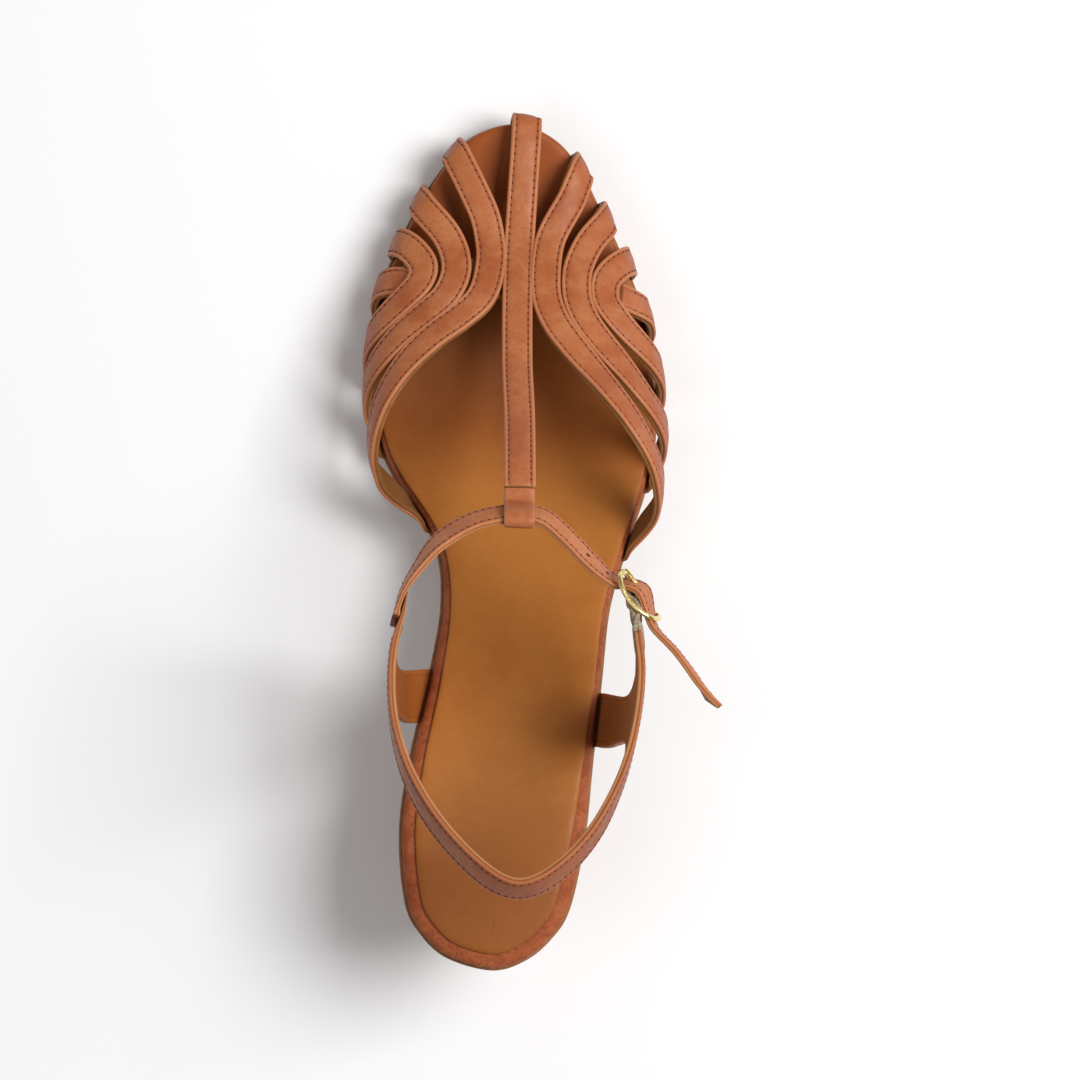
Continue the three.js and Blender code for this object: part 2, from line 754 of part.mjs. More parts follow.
// The same frames with one end pared down to half its thickness, where two bands are lapped
function paredFrames(frames, end) {
  const order = end === 0 ? frames : [...frames].reverse();
  let way = 0;
  order.forEach((frame, i) => {
    if (i > 0) way += frame.middle.distanceTo(order[i - 1].middle);
    const share = 1 - 0.5 * (1 - THREE.MathUtils.smoothstep(way, lapLength * 0.8, lapLength * 1.6));
    frame.low *= share;
    frame.high *= share;
  });
  return frames;
}

const backFrames = paredFrames(ankleFrames(backStrapRows, ankleWidth, backStrapThickness), 0);
const strapFrames = paredFrames(ankleFrames(ankleStrapRows, ankleWidth, ankleStrapThickness), 1);
const loopStartY = 0.552 * footLength;

// The loop at the top of the bar, folded round the ankle strap
function barLoop() {
  const joint = ridgePoint(loopStartY + 2);
  const away = (frame) => Math.abs(frame.middle.x - joint.x);
  const crossing = strapFrames.reduce((best, frame) => (away(frame) < away(best) ? frame : best));
  const { middle, face, edge } = crossing;
  const out = ankleStrapThickness / 2 + fit + loopSlack + loopThickness / 2;
  const reach = ankleWidth / 2 + fit;
  const top = reach + loopThickness * 0.7;
  const upright = new THREE.Vector3(0, 0, 1);
  const around = [
    [-reach * 0.85, out],
    [0, out],
    [reach * 0.8, out],
    [top, out * 0.5],
    [top, -out * 0.5],
    [reach * 0.8, -out],
    [0, -out],
    [-reach * 0.9, -out],
  ];
  const spots = [
    joint.clone().addScaledVector(upright, strapThickness * 0.5),
    ...around.map(([up, off]) =>
      middle.clone().addScaledVector(edge, up).addScaledVector(face, off),
    ),
    joint.clone().addScaledVector(upright, strapThickness * 0.2),
  ];
  const line = new THREE.CatmullRomCurve3(spots, false, "centripetal");
  const steps = 26;
  const middles = line.getPoints(steps).map((point) => point.setX(joint.x));
  const faces = middles.map((point, i) => {
    const next = middles[Math.min(i + 1, steps)];
    const before = middles[Math.max(i - 1, 0)];
    return new THREE.Vector3(1, 0, 0).cross(next.clone().sub(before)).normalize().negate();
  });
  const sizes = middles.map(() => ({
    width: loopWidth,
    low: -loopThickness / 2,
    high: loopThickness / 2,
  }));
  return band(framesAlong(middles, faces, sizes));
}

// The underlay that joins the straps beneath their crossing in the middle
function underlay() {
  const middles = [];
  const faces = [];
  const sizes = [];
  const way = underlayWay * footLength;
  const steps = 14;
  for (let k = 0; k <= steps; k += 1) {
    const turn = underlayTurn * ((2 * k) / steps - 1);
    const side = turn < 0 ? -1 : 1;
    const round = Math.max(Math.abs(turn), 0.5);
    middles.push(lastPoint(side, way, round));
    faces.push(lastNormal(side, way, round));
    sizes.push({
      width: underlayWidth,
      low: underlayRise - underlayThickness,
      high: underlayRise,
    });
  }
  return band(framesAlong(middles, faces, sizes));
}

// Place of the back strap over a distance from the heel end, on one side
function strapPlace(side, y) {
  const own = backFrames.map(({ middle }) => middle).filter(({ x }) => x * side > ankleWidth);
  own.sort((a, b) => a.y - b.y);
  let k = 0;
  while (k < own.length - 2 && own[k + 1].y < y) k += 1;
  const t = THREE.MathUtils.clamp((y - own[k].y) / (own[k + 1].y - own[k].y), 0, 1);
  return own[k].clone().lerp(own[k + 1], t);
}

// A quarter's surface: out of its slot under the rim, up the side and into the back strap. At
// runs from 0 at the tucked end past the rim at tuckRows, across from -1 to 1
function quarterPoint({ side, foot, rows }, at, across) {
  const onTab = Math.max(at - tuckRows, 0);
  const wide = at < tuckRows ? 1 : flow(rows, "wide", onTab);
  const slide = at < tuckRows ? 0 : flow(rows, "slide", onTab);
  const y = (foot + slide) * footLength + (across * wide * quarterWidth) / 2;
  const rim = halfWidth(side, y) + rimClearance + quarterThickness / 2;
  const band = strapPlace(side, y);
  const rise = band.z - bedLine(y);
  const swing = Math.abs(band.x) - rim;
  const tabX = rim + flow(rows, "out", onTab) * swing;
  const tabZ = bedLine(y) + flow(rows, "up", onTab) * rise;
  if (at >= tuckRows) return new THREE.Vector3(side * tabX, y, tabZ);
  const share = at / tuckRows;
  const bend = THREE.MathUtils.clamp(2 * share - 1, 0, 1) * (Math.PI / 2);
  const hidden = tuckLength * Math.max(1 - 2 * share, 0);
  const x = rim - lipRadius * (1 - Math.sin(bend)) - hidden;
  const z = bedLine(y) - bedThickness - fit + lipRadius * (1 - Math.cos(bend));
  const ease = THREE.MathUtils.smoothstep(share, 0.75, 1);
  return new THREE.Vector3(side * (x + (tabX - x) * ease), y, z + (tabZ - z) * ease);
}

function quarterNormal(tab, at, across) {
  const step = 0.04;
  const high = Math.min(at + step, tuckRows + tab.rows.length - 1);
  const up = quarterPoint(tab, high, across).sub(quarterPoint(tab, at - step, across));
  const wide = quarterPoint(tab, at, across + step).sub(quarterPoint(tab, at, across - step));
  return wide.cross(up).multiplyScalar(tab.side).normalize();
}

// The quarter as a body, with some material added all round for its slot
function quarter(tab, extra = 0) {
  const stations = 4;
  const stepsPerRow = 1.5;
  const reach = 1 + (2 * extra) / quarterWidth;
  const rings = [];
  for (let k = 0; k <= (tuckRows + tab.rows.length - 1) * stepsPerRow; k += 1) {
    const at = k === 0 ? (-extra * tuckRows) / (2 * tuckLength) : k / stepsPerRow;
    const thin = THREE.MathUtils.smoothstep(at, tuckRows, tuckRows + 1.5);
    const half = (tuckThickness + (quarterThickness - tuckThickness) * thin) / 2 + extra;
    const ring = [];
    for (const side of [-1, 1]) {
      for (let i = 0; i <= stations; i += 1) {
        const across = -side * reach * ((2 * i) / stations - 1);
        const normal = quarterNormal(tab, at, across);
        ring.push(quarterPoint(tab, at, across).addScaledVector(normal, side * half));
      }
    }
    rings.push(ring);
  }
  return bodyThroughRings(rings);
}

// A sole layer through sections across it, with softened edges, between two heights. Its edge
// is the rim moved in by an inset, times the shares of a table where there is one
function soleLayer(edgeInset, bottomLift, topLift, soft, rows = evenRows) {
  const stations = 38;
  const inset = (side, share) => edgeInset * through(rows, side < 0 ? "medial" : "lateral", share);
  const backInset = inset(1, 0);
  const length = footLength - backInset - inset(1, 1);
  const rings = [];
  for (let k = 0; k <= stations; k += 1) {
    const share = (1 - Math.cos((Math.PI * k) / stations)) / 2;
    const y = backInset + length * share;
    const outlineY = THREE.MathUtils.clamp(share * footLength, 0.25, footLength - 0.25);
    const level = soleLine(THREE.MathUtils.clamp(y, 0, footLength));
    const [bottom, top] = [level + bottomLift, level + topLift];
    const left = Math.max(halfWidth(-1, outlineY) - inset(-1, share), 0.6);
    const right = Math.max(halfWidth(1, outlineY) - inset(1, share), 0.6);
    const round = Math.min(soft, left * 0.45, right * 0.45, (top - bottom) * 0.45);
    const half = round * 0.3;
    const section = [
      [-left + round, bottom], [0, bottom], [right - round, bottom],
      [right - half, bottom + half], [right, bottom + round],
      [right, top - round], [right - half, top - half],
      [right - round, top], [0, top], [-left + round, top],
      [-left + half, top - half], [-left, top - round],
      [-left, bottom + round], [-left + half, bottom + half],
    ];
    rings.push(section.map(([x, z]) => new THREE.Vector3(x, y, z)));
  }
  return bodyThroughRings(rings);
}

// Outline of the heel seat, closed by its straight breast
function seatOutline(inset) {
  const arcSteps = 16;
  const points = [];
  for (const side of [-1, 1]) {
    const run = [];
    for (let k = 0; k <= arcSteps; k += 1) {
      const y = heelSeatLength * (1 - Math.cos(((Math.PI / 2) * k) / arcSteps));
      const x = Math.max(halfWidth(side, y) - inset, 0);
      run.push(new THREE.Vector2(side * x, y + inset * (1 - k / arcSteps)));
    }
    if (side < 0) run.reverse();
    points.push(...(side < 0 ? run : run.slice(1)));
  }
  return points;
}

// A ring of the heel block: the seat's outline drawn in towards the tread
function heelRing(share, z) {
  const seat = seatOutline(heelInset);
  const length = heelTreadLength + (heelSeatLength - heelTreadLength) * share;
  const wide = heelTreadShare + (1 - heelTreadShare) * share;
  const back = (heelSeatLength - heelTreadLength) * heelBackLean * (1 - share);
  return seat.map((point) => new THREE.Vector3(
    point.x * wide,
    back + (point.y / heelSeatLength) * length,
    z,
  ));
}

function heelBlock() {
  const base = liftThickness + fit;
  const rings = heelRows.map((row) => heelRing(row.size, base + row.up * (heelHeight - base)));
  const cutter = soleLayer(-heelSeatLength / 8, -fit, heelHeight, outsoleSoft);
  return toGeometry(toSolid(bodyThroughRings(rings)).subtract(toSolid(cutter)));
}

function heelLift() {
  return bodyThroughRings([heelRing(0, 0), heelRing(0, liftThickness)]);
}

// A place and directions at the buckle, in the middle of its centre bar
const buckleRow = 4;
function buckleSeat() {
  const rows = ankleStrapRows.map((row) => ({ ...row, lean: buckleLean, out: 0 }));
  const frames = ankleFrames(rows, ankleWidth, ankleStrapThickness);
  const { middle, face, edge } = frames[buckleRow * ankleSteps];
  const along = edge.clone().cross(face).normalize();
  const seat = new THREE.Matrix4().makeBasis(along, edge, face);
  seat.setPosition(middle);
  return seat;
}

// Round wire along a line, closed or with flat ends
function wire(spots, diameter) {
  const line = new THREE.CatmullRomCurve3(spots, false, "centripetal");
  const shape = new THREE.Shape();
  shape.absarc(0, 0, diameter / 2, 0, Math.PI * 2);
  return new THREE.ExtrudeGeometry(shape, {
    steps: spots.length * 2,
    curveSegments: 4,
    extrudePath: line,
    bevelEnabled: false,
  });
}

// Height of the bowed frame off the strap's middle, by the way along the strap
function bowHeight(x) {
  const reach = (buckleLength - buckleWire) / 2;
  return buckleBow * ((x / reach) ** 2 - 0.5);
}

function buckleFrame() {
  const points = 20;
  const length = buckleLength - buckleWire;
  const width = buckleWidth - buckleWire;
  const spots = [];
  for (let k = 0; k < points; k += 1) {
    const angle = (2 * Math.PI * k) / points;
    const squareness = 0.5;
    const x = Math.sign(Math.cos(angle)) * Math.abs(Math.cos(angle)) ** squareness * (length / 2);
    const y = Math.sign(Math.sin(angle)) * Math.abs(Math.sin(angle)) ** squareness * (width / 2);
    spots.push(new THREE.Vector3(x, y, bowHeight(x)));
  }
  const rings = spots.map((spot, k) => {
    const next = spots[(k + 1) % points];
    const before = spots[(k + points - 1) % points];
    const along = next.clone().sub(before).normalize();
    const edge = new THREE.Vector3(0, 0, 1).cross(along).normalize();
    const face = along.clone().cross(edge).normalize();
    return Array.from({ length: wireSides }, (_, i) => {
      const turn = (2 * Math.PI * i) / wireSides;
      return spot.clone()
        .addScaledVector(edge, Math.cos(turn) * buckleWire * 0.5)
        .addScaledVector(face, Math.sin(turn) * buckleWire * wireFlatness);
    });
  });
  const frame = toSolid(bodyThroughRings(rings, true));
  const radius = buckleWire * wireFlatness;
  const bar = new THREE.CylinderGeometry(radius, radius, width, wireSides);
  bar.translate(0, 0, bowHeight(0));
  return toGeometry(frame.add(toSolid(bar)));
}

// Prong: rises from the centre bar, through the strap, and lies on the near bar
function prong() {
  const nearBar = (buckleLength - buckleWire) / 2;
  const top = bowHeight(nearBar) + buckleWire * wireFlatness + fit + prongWire / 2;
  const start = bowHeight(0) + buckleWire * wireFlatness + fit;
  return wire(
    [
      new THREE.Vector3(nearBar * 0.05, 0, start),
      new THREE.Vector3(nearBar * 0.13, 0, (start + top) / 2),
      new THREE.Vector3(nearBar * 0.42, 0, top),
      new THREE.Vector3(nearBar * 0.87, 0, top),
      new THREE.Vector3(nearBar + prongWire, 0, top),
    ],
    prongWire,
  );
}

const seat = buckleSeat();

// Ankle strap with the pierced hole that the prong stands in
function ankleStrap() {
  const strap = toSolid(band(strapFrames));
  const reach = ankleWidth / 2;
  const spots = [[0.04, -1], [0.2, 0.06], [0.7, 1]].map(([along, up]) =>
    new THREE.Vector3(along * reach, 0, up * reach),
  );
  const hole = wire(spots, prongWire + 2 * fit + holeSlack);
  hole.applyMatrix4(seat);
  return toGeometry(strap.subtract(toSolid(hole)));
}

// Elastic that ties the buckle's centre bar to the end of the back strap
function elastic() {
  const end = backFrames[backFrames.length - 1];
  const inward = -(backStrapThickness / 2 + 3 * fit + elasticThickness / 2);
  const below = buckleWire * wireFlatness + fit + elasticThickness / 2;
  const bar = new THREE.Vector3(0, 0, bowHeight(0) - below).applyMatrix4(seat);
  const lapped = backFrames.slice(-3).map(({ middle, face }) =>
    middle.clone().addScaledVector(face, inward),
  );
  const line = new THREE.CatmullRomCurve3([...lapped, bar], false, "centripetal");
  const middles = line.getPoints(12);
  const seatFace = new THREE.Vector3().setFromMatrixColumn(seat, 2);
  const faces = middles.map((_, i) =>
    end.face.clone().lerp(seatFace, Math.max(i / 6 - 1, 0)).normalize(),
  );
  const sizes = middles.map(() => ({
    width: elasticWidth,
    low: -elasticThickness / 2,
    high: elasticThickness / 2,
  }));
  return band(framesAlong(middles, faces, sizes));
}

// The front of the upper: bar, fan straps and underlay, one leather solid
function frontUpper() {
  const straps = Object.values(fanStraps).map((strap) => fanStrap(strap));
  const pieces = [band(barFrames()), barLoop(), underlay(), ...straps];
  return toGeometry(joinAll(pieces.map(toSolid)));
}

// The back of the upper: back strap and its two quarters, one leather solid
function backUpper() {
  const quarters = Object.values(quarterRows).map((tab) => quarter(tab));
  return toGeometry(joinAll([band(backFrames), ...quarters].map(toSolid)));
}

// Everything that is tucked in between footbed and outsole, with its clearance
function tuckedIn() {
  const straps = Object.values(fanStraps).map((strap) => fanStrap(strap, fit));
  const quarters = Object.values(quarterRows).map((tab) => quarter(tab, slotClearance));
  return joinAll([band(barFrames(fit)), ...straps, ...quarters].map(toSolid));
}

function outsole() {
  const layer = soleLayer(-outsoleEdge, 0, outsoleThickness, outsoleSoft);
  return toGeometry(mainBody(toSolid(layer).subtract(tuckedIn())));
}

function footbed() {
  const layer = soleLayer(0, outsoleThickness + fit, stack, bedSoft);
  return toGeometry(mainBody(toSolid(layer).subtract(tuckedIn())));
}

function sockLining() {
  const base = stack + fit;
  return soleLayer(sockInset, base, base + sockThickness, sockSoft, sockRows);
}

// Materials
const leather = { color: 0xa9683f, roughness: 0.5, metalness: 0 };
const rimLeather = { color: 0x8c5536, roughness: 0.7, metalness: 0 };
const sockLeather = { color: 0xa66d37, roughness: 0.55, metalness: 0 };
const heelLeather = { color: 0x8a5334, roughness: 0.5, metalness: 0 };
const soleRubber = { color: 0xa9824f, roughness: 0.8, metalness: 0 };
const liftRubber = { color: 0x4a3527, roughness: 0.85, metalness: 0 };
const paleBrass = { color: 0xe0cc86, roughness: 0.25, metalness: 1 };
const wovenElastic = { color: 0x9a8a70, roughness: 0.9, metalness: 0 };

const sandal = new THREE.Group();
sandal.position.set(0, -heelTreadCentre(), 0);

function heelTreadCentre() {
  const ring = heelRing(0, 0);
  const ys = ring.map((point) => point.y);
  return (Math.min(...ys) + Math.max(...ys)) / 2;
}

function addPiece(name, geometry, finish, parent = sandal) {
  const mesh = new THREE.Mesh(geometry, new THREE.MeshStandardMaterial(finish));
  mesh.name = name;
  parent.add(mesh);
}

addPiece("outsole", outsole(), soleRubber);
addPiece("footbed", footbed(), rimLeather);
addPiece("sock_lining", sockLining(), sockLeather);
addPiece("heel_block", heelBlock(), heelLeather);
addPiece("heel_top_lift", heelLift(), liftRubber);
addPiece("upper_front", frontUpper(), leather);
addPiece("upper_back", backUpper(), leather);
addPiece("ankle_strap", ankleStrap(), leather);
addPiece("elastic_loop", elastic(), wovenElastic);

const buckle = new THREE.Group();
buckle.applyMatrix4(seat);
sandal.add(buckle);
addPiece("buckle_frame", buckleFrame(), paleBrass, buckle);
addPiece("buckle_prong", prong(), paleBrass, buckle);

export default sandal;
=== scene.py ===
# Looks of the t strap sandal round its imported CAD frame. Measures are millimetres, with y from
# the heel end of the footbed, as in the part's source, and turn to metres when a mesh is made.
import bisect
import math

import bpy
import numpy as np
from mathutils import Matrix


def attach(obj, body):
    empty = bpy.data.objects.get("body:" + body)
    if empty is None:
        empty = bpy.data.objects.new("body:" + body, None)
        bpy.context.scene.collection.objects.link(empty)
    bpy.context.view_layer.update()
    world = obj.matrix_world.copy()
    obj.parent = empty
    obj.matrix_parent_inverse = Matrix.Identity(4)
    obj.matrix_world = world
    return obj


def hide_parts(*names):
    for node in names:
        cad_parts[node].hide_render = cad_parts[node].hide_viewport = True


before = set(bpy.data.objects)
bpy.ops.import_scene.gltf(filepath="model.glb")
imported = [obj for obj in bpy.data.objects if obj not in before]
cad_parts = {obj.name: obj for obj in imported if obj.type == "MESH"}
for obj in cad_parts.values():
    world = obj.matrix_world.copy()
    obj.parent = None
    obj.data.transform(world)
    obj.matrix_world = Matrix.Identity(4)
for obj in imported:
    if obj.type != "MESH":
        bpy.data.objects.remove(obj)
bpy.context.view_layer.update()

MM = 0.001
SHIFT = 27.38

# Sizes shared with the part's source
FOOT = 246.0
HALF_BALL = 42.0
HEEL_HEIGHT = 53.5
TOE_SPRING = 5.5
INSTEP = 66.0
BULGE = 12.0
WIDEST = 18.0
FAN_DEPTH = 26.0
FAN_REACH = 85.0
BED = 5.0
SOLE = 3.2
FIT = 0.3
STACK = SOLE + FIT + BED
RIM_CLEAR = 0.5
LIP_RADIUS = 1.6
TUCK = 7.0
SIDE_TURN = 140.0
LIP_TURN = 160.0
SEAT_LENGTH = 57.0
TREAD_LENGTH = 38.0
TREAD_SHARE = 0.76
LIFT = 5.0
PLIES = 2.2
BUCKLE_LENGTH = 18.0
BUCKLE_WIDTH = 14.4
WIRE = 1.6
BOW = 2.0
PRONG = 1.3

# Sizes that only this scene uses, with its turns in degrees
CENTRE_BAR = WIRE * 0.42
BUCKLE_LEAN = 13
BUCKLE_TURN = 5
BUCKLE_SHIFT = 0.9
BUCKLE_ROW = 4
SPARE_HOLES = (12.7, 20)
FAN_PITCH = 2.3
BAR_PITCH = 2.15
BAND_PITCH = 2.0
STRAP_THIN = 0.72
SEAT_INSET = 1.2
SEAT_CORNER = 3.2
LAP = 11.0
LOOP_START = 0.552 * FOOT
CROSS_SEAM = 138.2
BAR_REACH = 1.3
BAR_ROLL = 9
TOE_ROLL = {-1: 3, 1: 7}
ROUNDNESS = 0.95

# Camera: lens, place, cosine and sine of its lean, aim across and up from straight down
CAMERA_LENS = 156.3
CAMERA_PLACE = (-0.0366, 0.0738, 1.4)
CAMERA_LEAN = (0.99922, 0.03948)
CAMERA_AIM = (0.03454, 0.01471)

# Sole line: along, share of the heel height, share of the toe spring
SOLE_ROWS = [
    (0, 1, 0), (0.12, 0.945, 0), (0.225, 0.86, 0), (0.325, 0.68, 0), (0.425, 0.43, 0),
    (0.53, 0.2, 0), (0.61, 0.068, 0), (0.66, 0.016, 0), (0.71, 0, 0), (0.82, 0, 0),
    (0.915, 0, 0.37), (1, 0, 1),
]
# Footbed outline: along, inner and outer half width
OUTLINE_ROWS = [
    (1, 0, 0), (0.994, 0.19, 0.12), (0.977, 0.37, 0.285), (0.947, 0.515, 0.43),
    (0.903, 0.675, 0.575), (0.854, 0.805, 0.73), (0.797, 0.92, 0.875), (0.723, 0.975, 0.99),
    (0.667, 0.965, 1.03), (0.618, 0.905, 1.02), (0.573, 0.785, 0.975), (0.496, 0.485, 0.84),
    (0.423, 0.415, 0.725), (0.337, 0.48, 0.675), (0.24, 0.593, 0.624), (0.154, 0.645, 0.586),
    (0.073, 0.59, 0.5), (0.037, 0.476, 0.381), (0.012, 0.298, 0.214), (0, 0, 0),
]
# Last: along, rise, inner bulge, outer bulge, widest height, ridge place
LAST_ROWS = [
    (0.405, 1.01, 1, 0.67, 1, 0.057), (0.488, 1.01, 0.83, 0.5, 0.86, 0.05),
    (0.528, 0.985, 0.67, 0.34, 0.78, 0.047), (0.577, 0.93, 0.33, 0.17, 0.6, 0.043),
    (0.638, 0.758, 0.09, 0.07, 0.48, 0.037), (0.711, 0.515, 0, 0, 0.44, 0.017),
    (0.785, 0.358, 0, 0, 0.38, 0.01), (0.821, 0.282, 0, 0, 0.33, 0.01),
    (0.858, 0.212, 0, 0, 0.28, 0.014), (0.919, 0.142, 0, 0, 0.22, 0.024),
    (1, 0.03, 0, 0, 0.17, 0.03),
]
# Fan straps: side, then way along the rim and turn round the last
FAN = {
    "medial_inner": (-1, [
        (0.09, 180), (0.088, 140), (0.086, 88), (0.096, 58), (0.118, 36), (0.155, 20.5),
        (0.205, 13.2), (0.248, 11.7), (0.285, 14.2), (0.312, 22.4), (0.337, 33.5), (0.366, 45),
        (0.4, 57), (0.43, 67), (0.455, 76), (0.485, 88), (0.525, 106), (0.562, 132),
        (0.572, 180)]),
    "medial_middle": (-1, [
        (0.158, 180), (0.156, 140), (0.158, 90), (0.17, 64), (0.19, 44), (0.216, 32.5),
        (0.25, 26.9), (0.284, 29.4), (0.308, 38), (0.332, 49.5), (0.356, 61), (0.384, 76),
        (0.414, 96), (0.444, 124), (0.462, 150), (0.466, 180)]),
    "medial_outer": (-1, [
        (0.222, 180), (0.218, 140), (0.216, 92), (0.222, 64), (0.243, 47), (0.268, 44.5),
        (0.293, 53), (0.317, 66), (0.337, 82), (0.358, 106), (0.374, 134), (0.38, 180)]),
    "medial_short": (-1, [
        (0.268, 54), (0.266, 66), (0.271, 82), (0.282, 106), (0.291, 134), (0.293, 180)]),
    "lateral_inner": (1, [
        (0.089, 180), (0.088, 140), (0.087, 88), (0.1, 60), (0.12, 42.4), (0.146, 27),
        (0.176, 18), (0.216, 13.5), (0.264, 11.8), (0.302, 15), (0.335, 22), (0.366, 30.6),
        (0.4, 41), (0.437, 53.5), (0.47, 67), (0.5, 82), (0.535, 104), (0.565, 132),
        (0.573, 180)]),
    "lateral_middle": (1, [
        (0.156, 180), (0.154, 140), (0.155, 90), (0.167, 64), (0.188, 43.5), (0.224, 30.6),
        (0.263, 26.3), (0.296, 28.5), (0.326, 35.3), (0.356, 45), (0.389, 57.4), (0.418, 74),
        (0.446, 97), (0.47, 126), (0.482, 152), (0.485, 180)]),
    "lateral_outer": (1, [
        (0.222, 180), (0.218, 140), (0.215, 92), (0.222, 64), (0.24, 47.2), (0.266, 41.5),
        (0.29, 45.2), (0.318, 56), (0.345, 74), (0.368, 97), (0.388, 130), (0.395, 180)]),
    "lateral_short": (1, [
        (0.262, 55), (0.271, 69), (0.282, 86), (0.292, 108), (0.3, 134), (0.302, 180)]),
}
# Ankle bands: along, across, up, lean in degrees, shift off the line in plies
BACK_ROWS = [
    (0.428, -0.7, 0.92, 5, 0), (0.385, -0.745, 0.9, 1, 0), (0.343, -0.766, 0.87, 1, 0),
    (0.297, -0.748, 0.83, 3, 0), (0.252, -0.686, 0.8, 11, 0), (0.212, -0.585, 0.785, 21, 0),
    (0.175, -0.44, 0.785, 27, 0), (0.142, -0.262, 0.8, 31, 0), (0.116, -0.07, 0.815, 34, 0),
    (0.106, 0.095, 0.82, 34, 0), (0.113, 0.26, 0.82, 33, 0), (0.138, 0.45, 0.805, 29, 0),
    (0.175, 0.62, 0.79, 22, 0), (0.222, 0.75, 0.785, 12, 0), (0.268, 0.83, 0.8, 4, 0),
    (0.312, 0.866, 0.83, -2, 0), (0.354, 0.878, 0.865, -2, 0), (0.392, 0.862, 0.89, 4, 0),
]
STRAP_ROWS = [
    (0.32, 1.395, 0.6, -6, 0), (0.345, 1.27, 0.7, 6, 0), (0.376, 1.12, 0.8, 4, 0),
    (0.409, 0.997, 0.87, 8, -0.86), (0.4335, 0.862, 0.9, 22, 1.1),
    (0.445, 0.793, 0.914, 22, 0.8), (0.456, 0.712, 0.931, 20, -0.5),
    (0.472, 0.545, 0.96, 26, 0), (0.502, 0.365, 0.975, 28, 0),
    (0.5235, 0.2, 0.98, 29, 0), (0.526, 0.0, 0.98, 29, 0), (0.516, -0.25, 0.975, 29, 0),
    (0.492, -0.47, 0.96, 27, 0), (0.462, -0.6, 0.945, 14, 0.1), (0.43, -0.695, 0.92, 5, 0.3),
    (0.398, -0.74, 0.905, 0, 0.35),
]
# Quarters: side, foot place, then shares of the way up and out to the back strap, slide and width
QUARTERS = {
    "medial": (-1, 0.311, [
        (0.03, 0.12, 0, 1), (0.16, 0.5, 0, 0.96), (0.34, 0.76, 0.003, 0.88),
        (0.52, 0.89, 0.008, 0.87), (0.69, 0.95, 0.012, 0.97), (0.82, 0.98, 0.016, 1.2),
        (0.92, 1, 0.019, 1.65), (0.97, 1, 0.02, 2.1)]),
    "lateral": (1, 0.291, [
        (0.03, 0.1, 0, 1), (0.16, 0.42, 0, 0.96), (0.34, 0.71, 0.002, 0.88),
        (0.52, 0.86, 0.005, 0.87), (0.68, 0.93, 0.009, 0.97), (0.81, 0.97, 0.013, 1.2),
        (0.91, 1, 0.015, 1.65), (0.97, 1, 0.016, 2.1)]),
}
HEEL_ROWS = [(0, 0), (0.25, 0.14), (0.5, 0.36), (0.75, 0.68), (1.12, 1)]


def unit(vector):
    vector = np.asarray(vector, float)
    length = np.linalg.norm(vector, axis=-1, keepdims=True)
    return vector / np.maximum(length, 1e-9)


# Stands a camera or light at a place, by a level direction and its back
def stand(thing, level, back, place):
    bpy.context.scene.collection.objects.link(thing)
    right = unit(np.cross(level, back))
    matrix = np.eye(4)
    matrix[:3] = np.column_stack([right, np.cross(back, right), back, place])
    thing.matrix_world = Matrix(matrix.tolist())


# Camera straight above the pair of shoes, as in the photograph, turned to this shoe
def make_camera():
    data = bpy.data.cameras.new("camera")
    data.sensor_width = 36
    data.lens = CAMERA_LENS
    data.clip_end = 20
    camera = bpy.data.objects.new("camera", data)
    lean_cos, lean_sin = CAMERA_LEAN
    across, upward = CAMERA_AIM
    ahead = [
        across * lean_cos - upward * lean_sin, across * lean_sin + upward * lean_cos, -1.0]
    stand(camera, [-lean_sin, lean_cos, 0.0], -unit(ahead), CAMERA_PLACE)
    bpy.context.scene.camera = camera


make_camera()


# Curves through table rows
class Through:
    def __init__(self, rows, column):
        self.x = [row[0] for row in rows]
        self.y = [row[column] for row in rows]
        slope = [
            (self.y[i + 1] - self.y[i]) / (self.x[i + 1] - self.x[i])
            for i in range(len(rows) - 1)
        ]
        self.tangent = [slope[0]]
        for a, b in zip(slope, slope[1:]):
            self.tangent.append(0 if a * b <= 0 else 2 * a * b / (a + b))
        self.tangent.append(slope[-1])

    def __call__(self, at):
        x, y, m = self.x, self.y, self.tangent
        at = min(max(at, x[0]), x[-1])
        i = min(max(bisect.bisect_right(x, at) - 1, 0), len(x) - 2)
        h = x[i + 1] - x[i]
        t = (at - x[i]) / h
        return (
            y[i] * (1 + 2 * t) * (1 - t) ** 2
            + m[i] * h * t * (1 - t) ** 2
            + y[i + 1] * t * t * (3 - 2 * t)
            + m[i + 1] * h * t * t * (t - 1)
        )


def flow(rows, at):
    rows = np.asarray(rows, float)
    last = len(rows) - 1
    i = min(int(at), last - 1)
    t = at - i
    a, b, c, d = (rows[min(max(k, 0), last)] for k in (i - 1, i, i + 1, i + 2))
    return 0.5 * (
        2 * b + (c - a) * t + (2 * a - 5 * b + 4 * c - d) * t * t
        + (3 * b - a - 3 * c + d) * t ** 3
    )


def smooth(value, low, high):
    t = np.clip((value - low) / (high - low), 0, 1)
    return t * t * (3 - 2 * t)


# Running length at each point of a line, with its steps raised to a power
def running(points, power=1):
    hops = np.linalg.norm(np.diff(points, axis=0), axis=1)
    return np.concatenate([[0], np.cumsum(hops ** power)])


# Rows of values read at a place, or at several, of their running length
def read_at(place, run, values):
    return np.stack([np.interp(place, run, column) for column in values.T], -1)


def tangents(points):
    ahead = np.concatenate([points[1:], points[-1:]])
    behind = np.concatenate([points[:1], points[:-1]])
    return unit(ahead - behind)


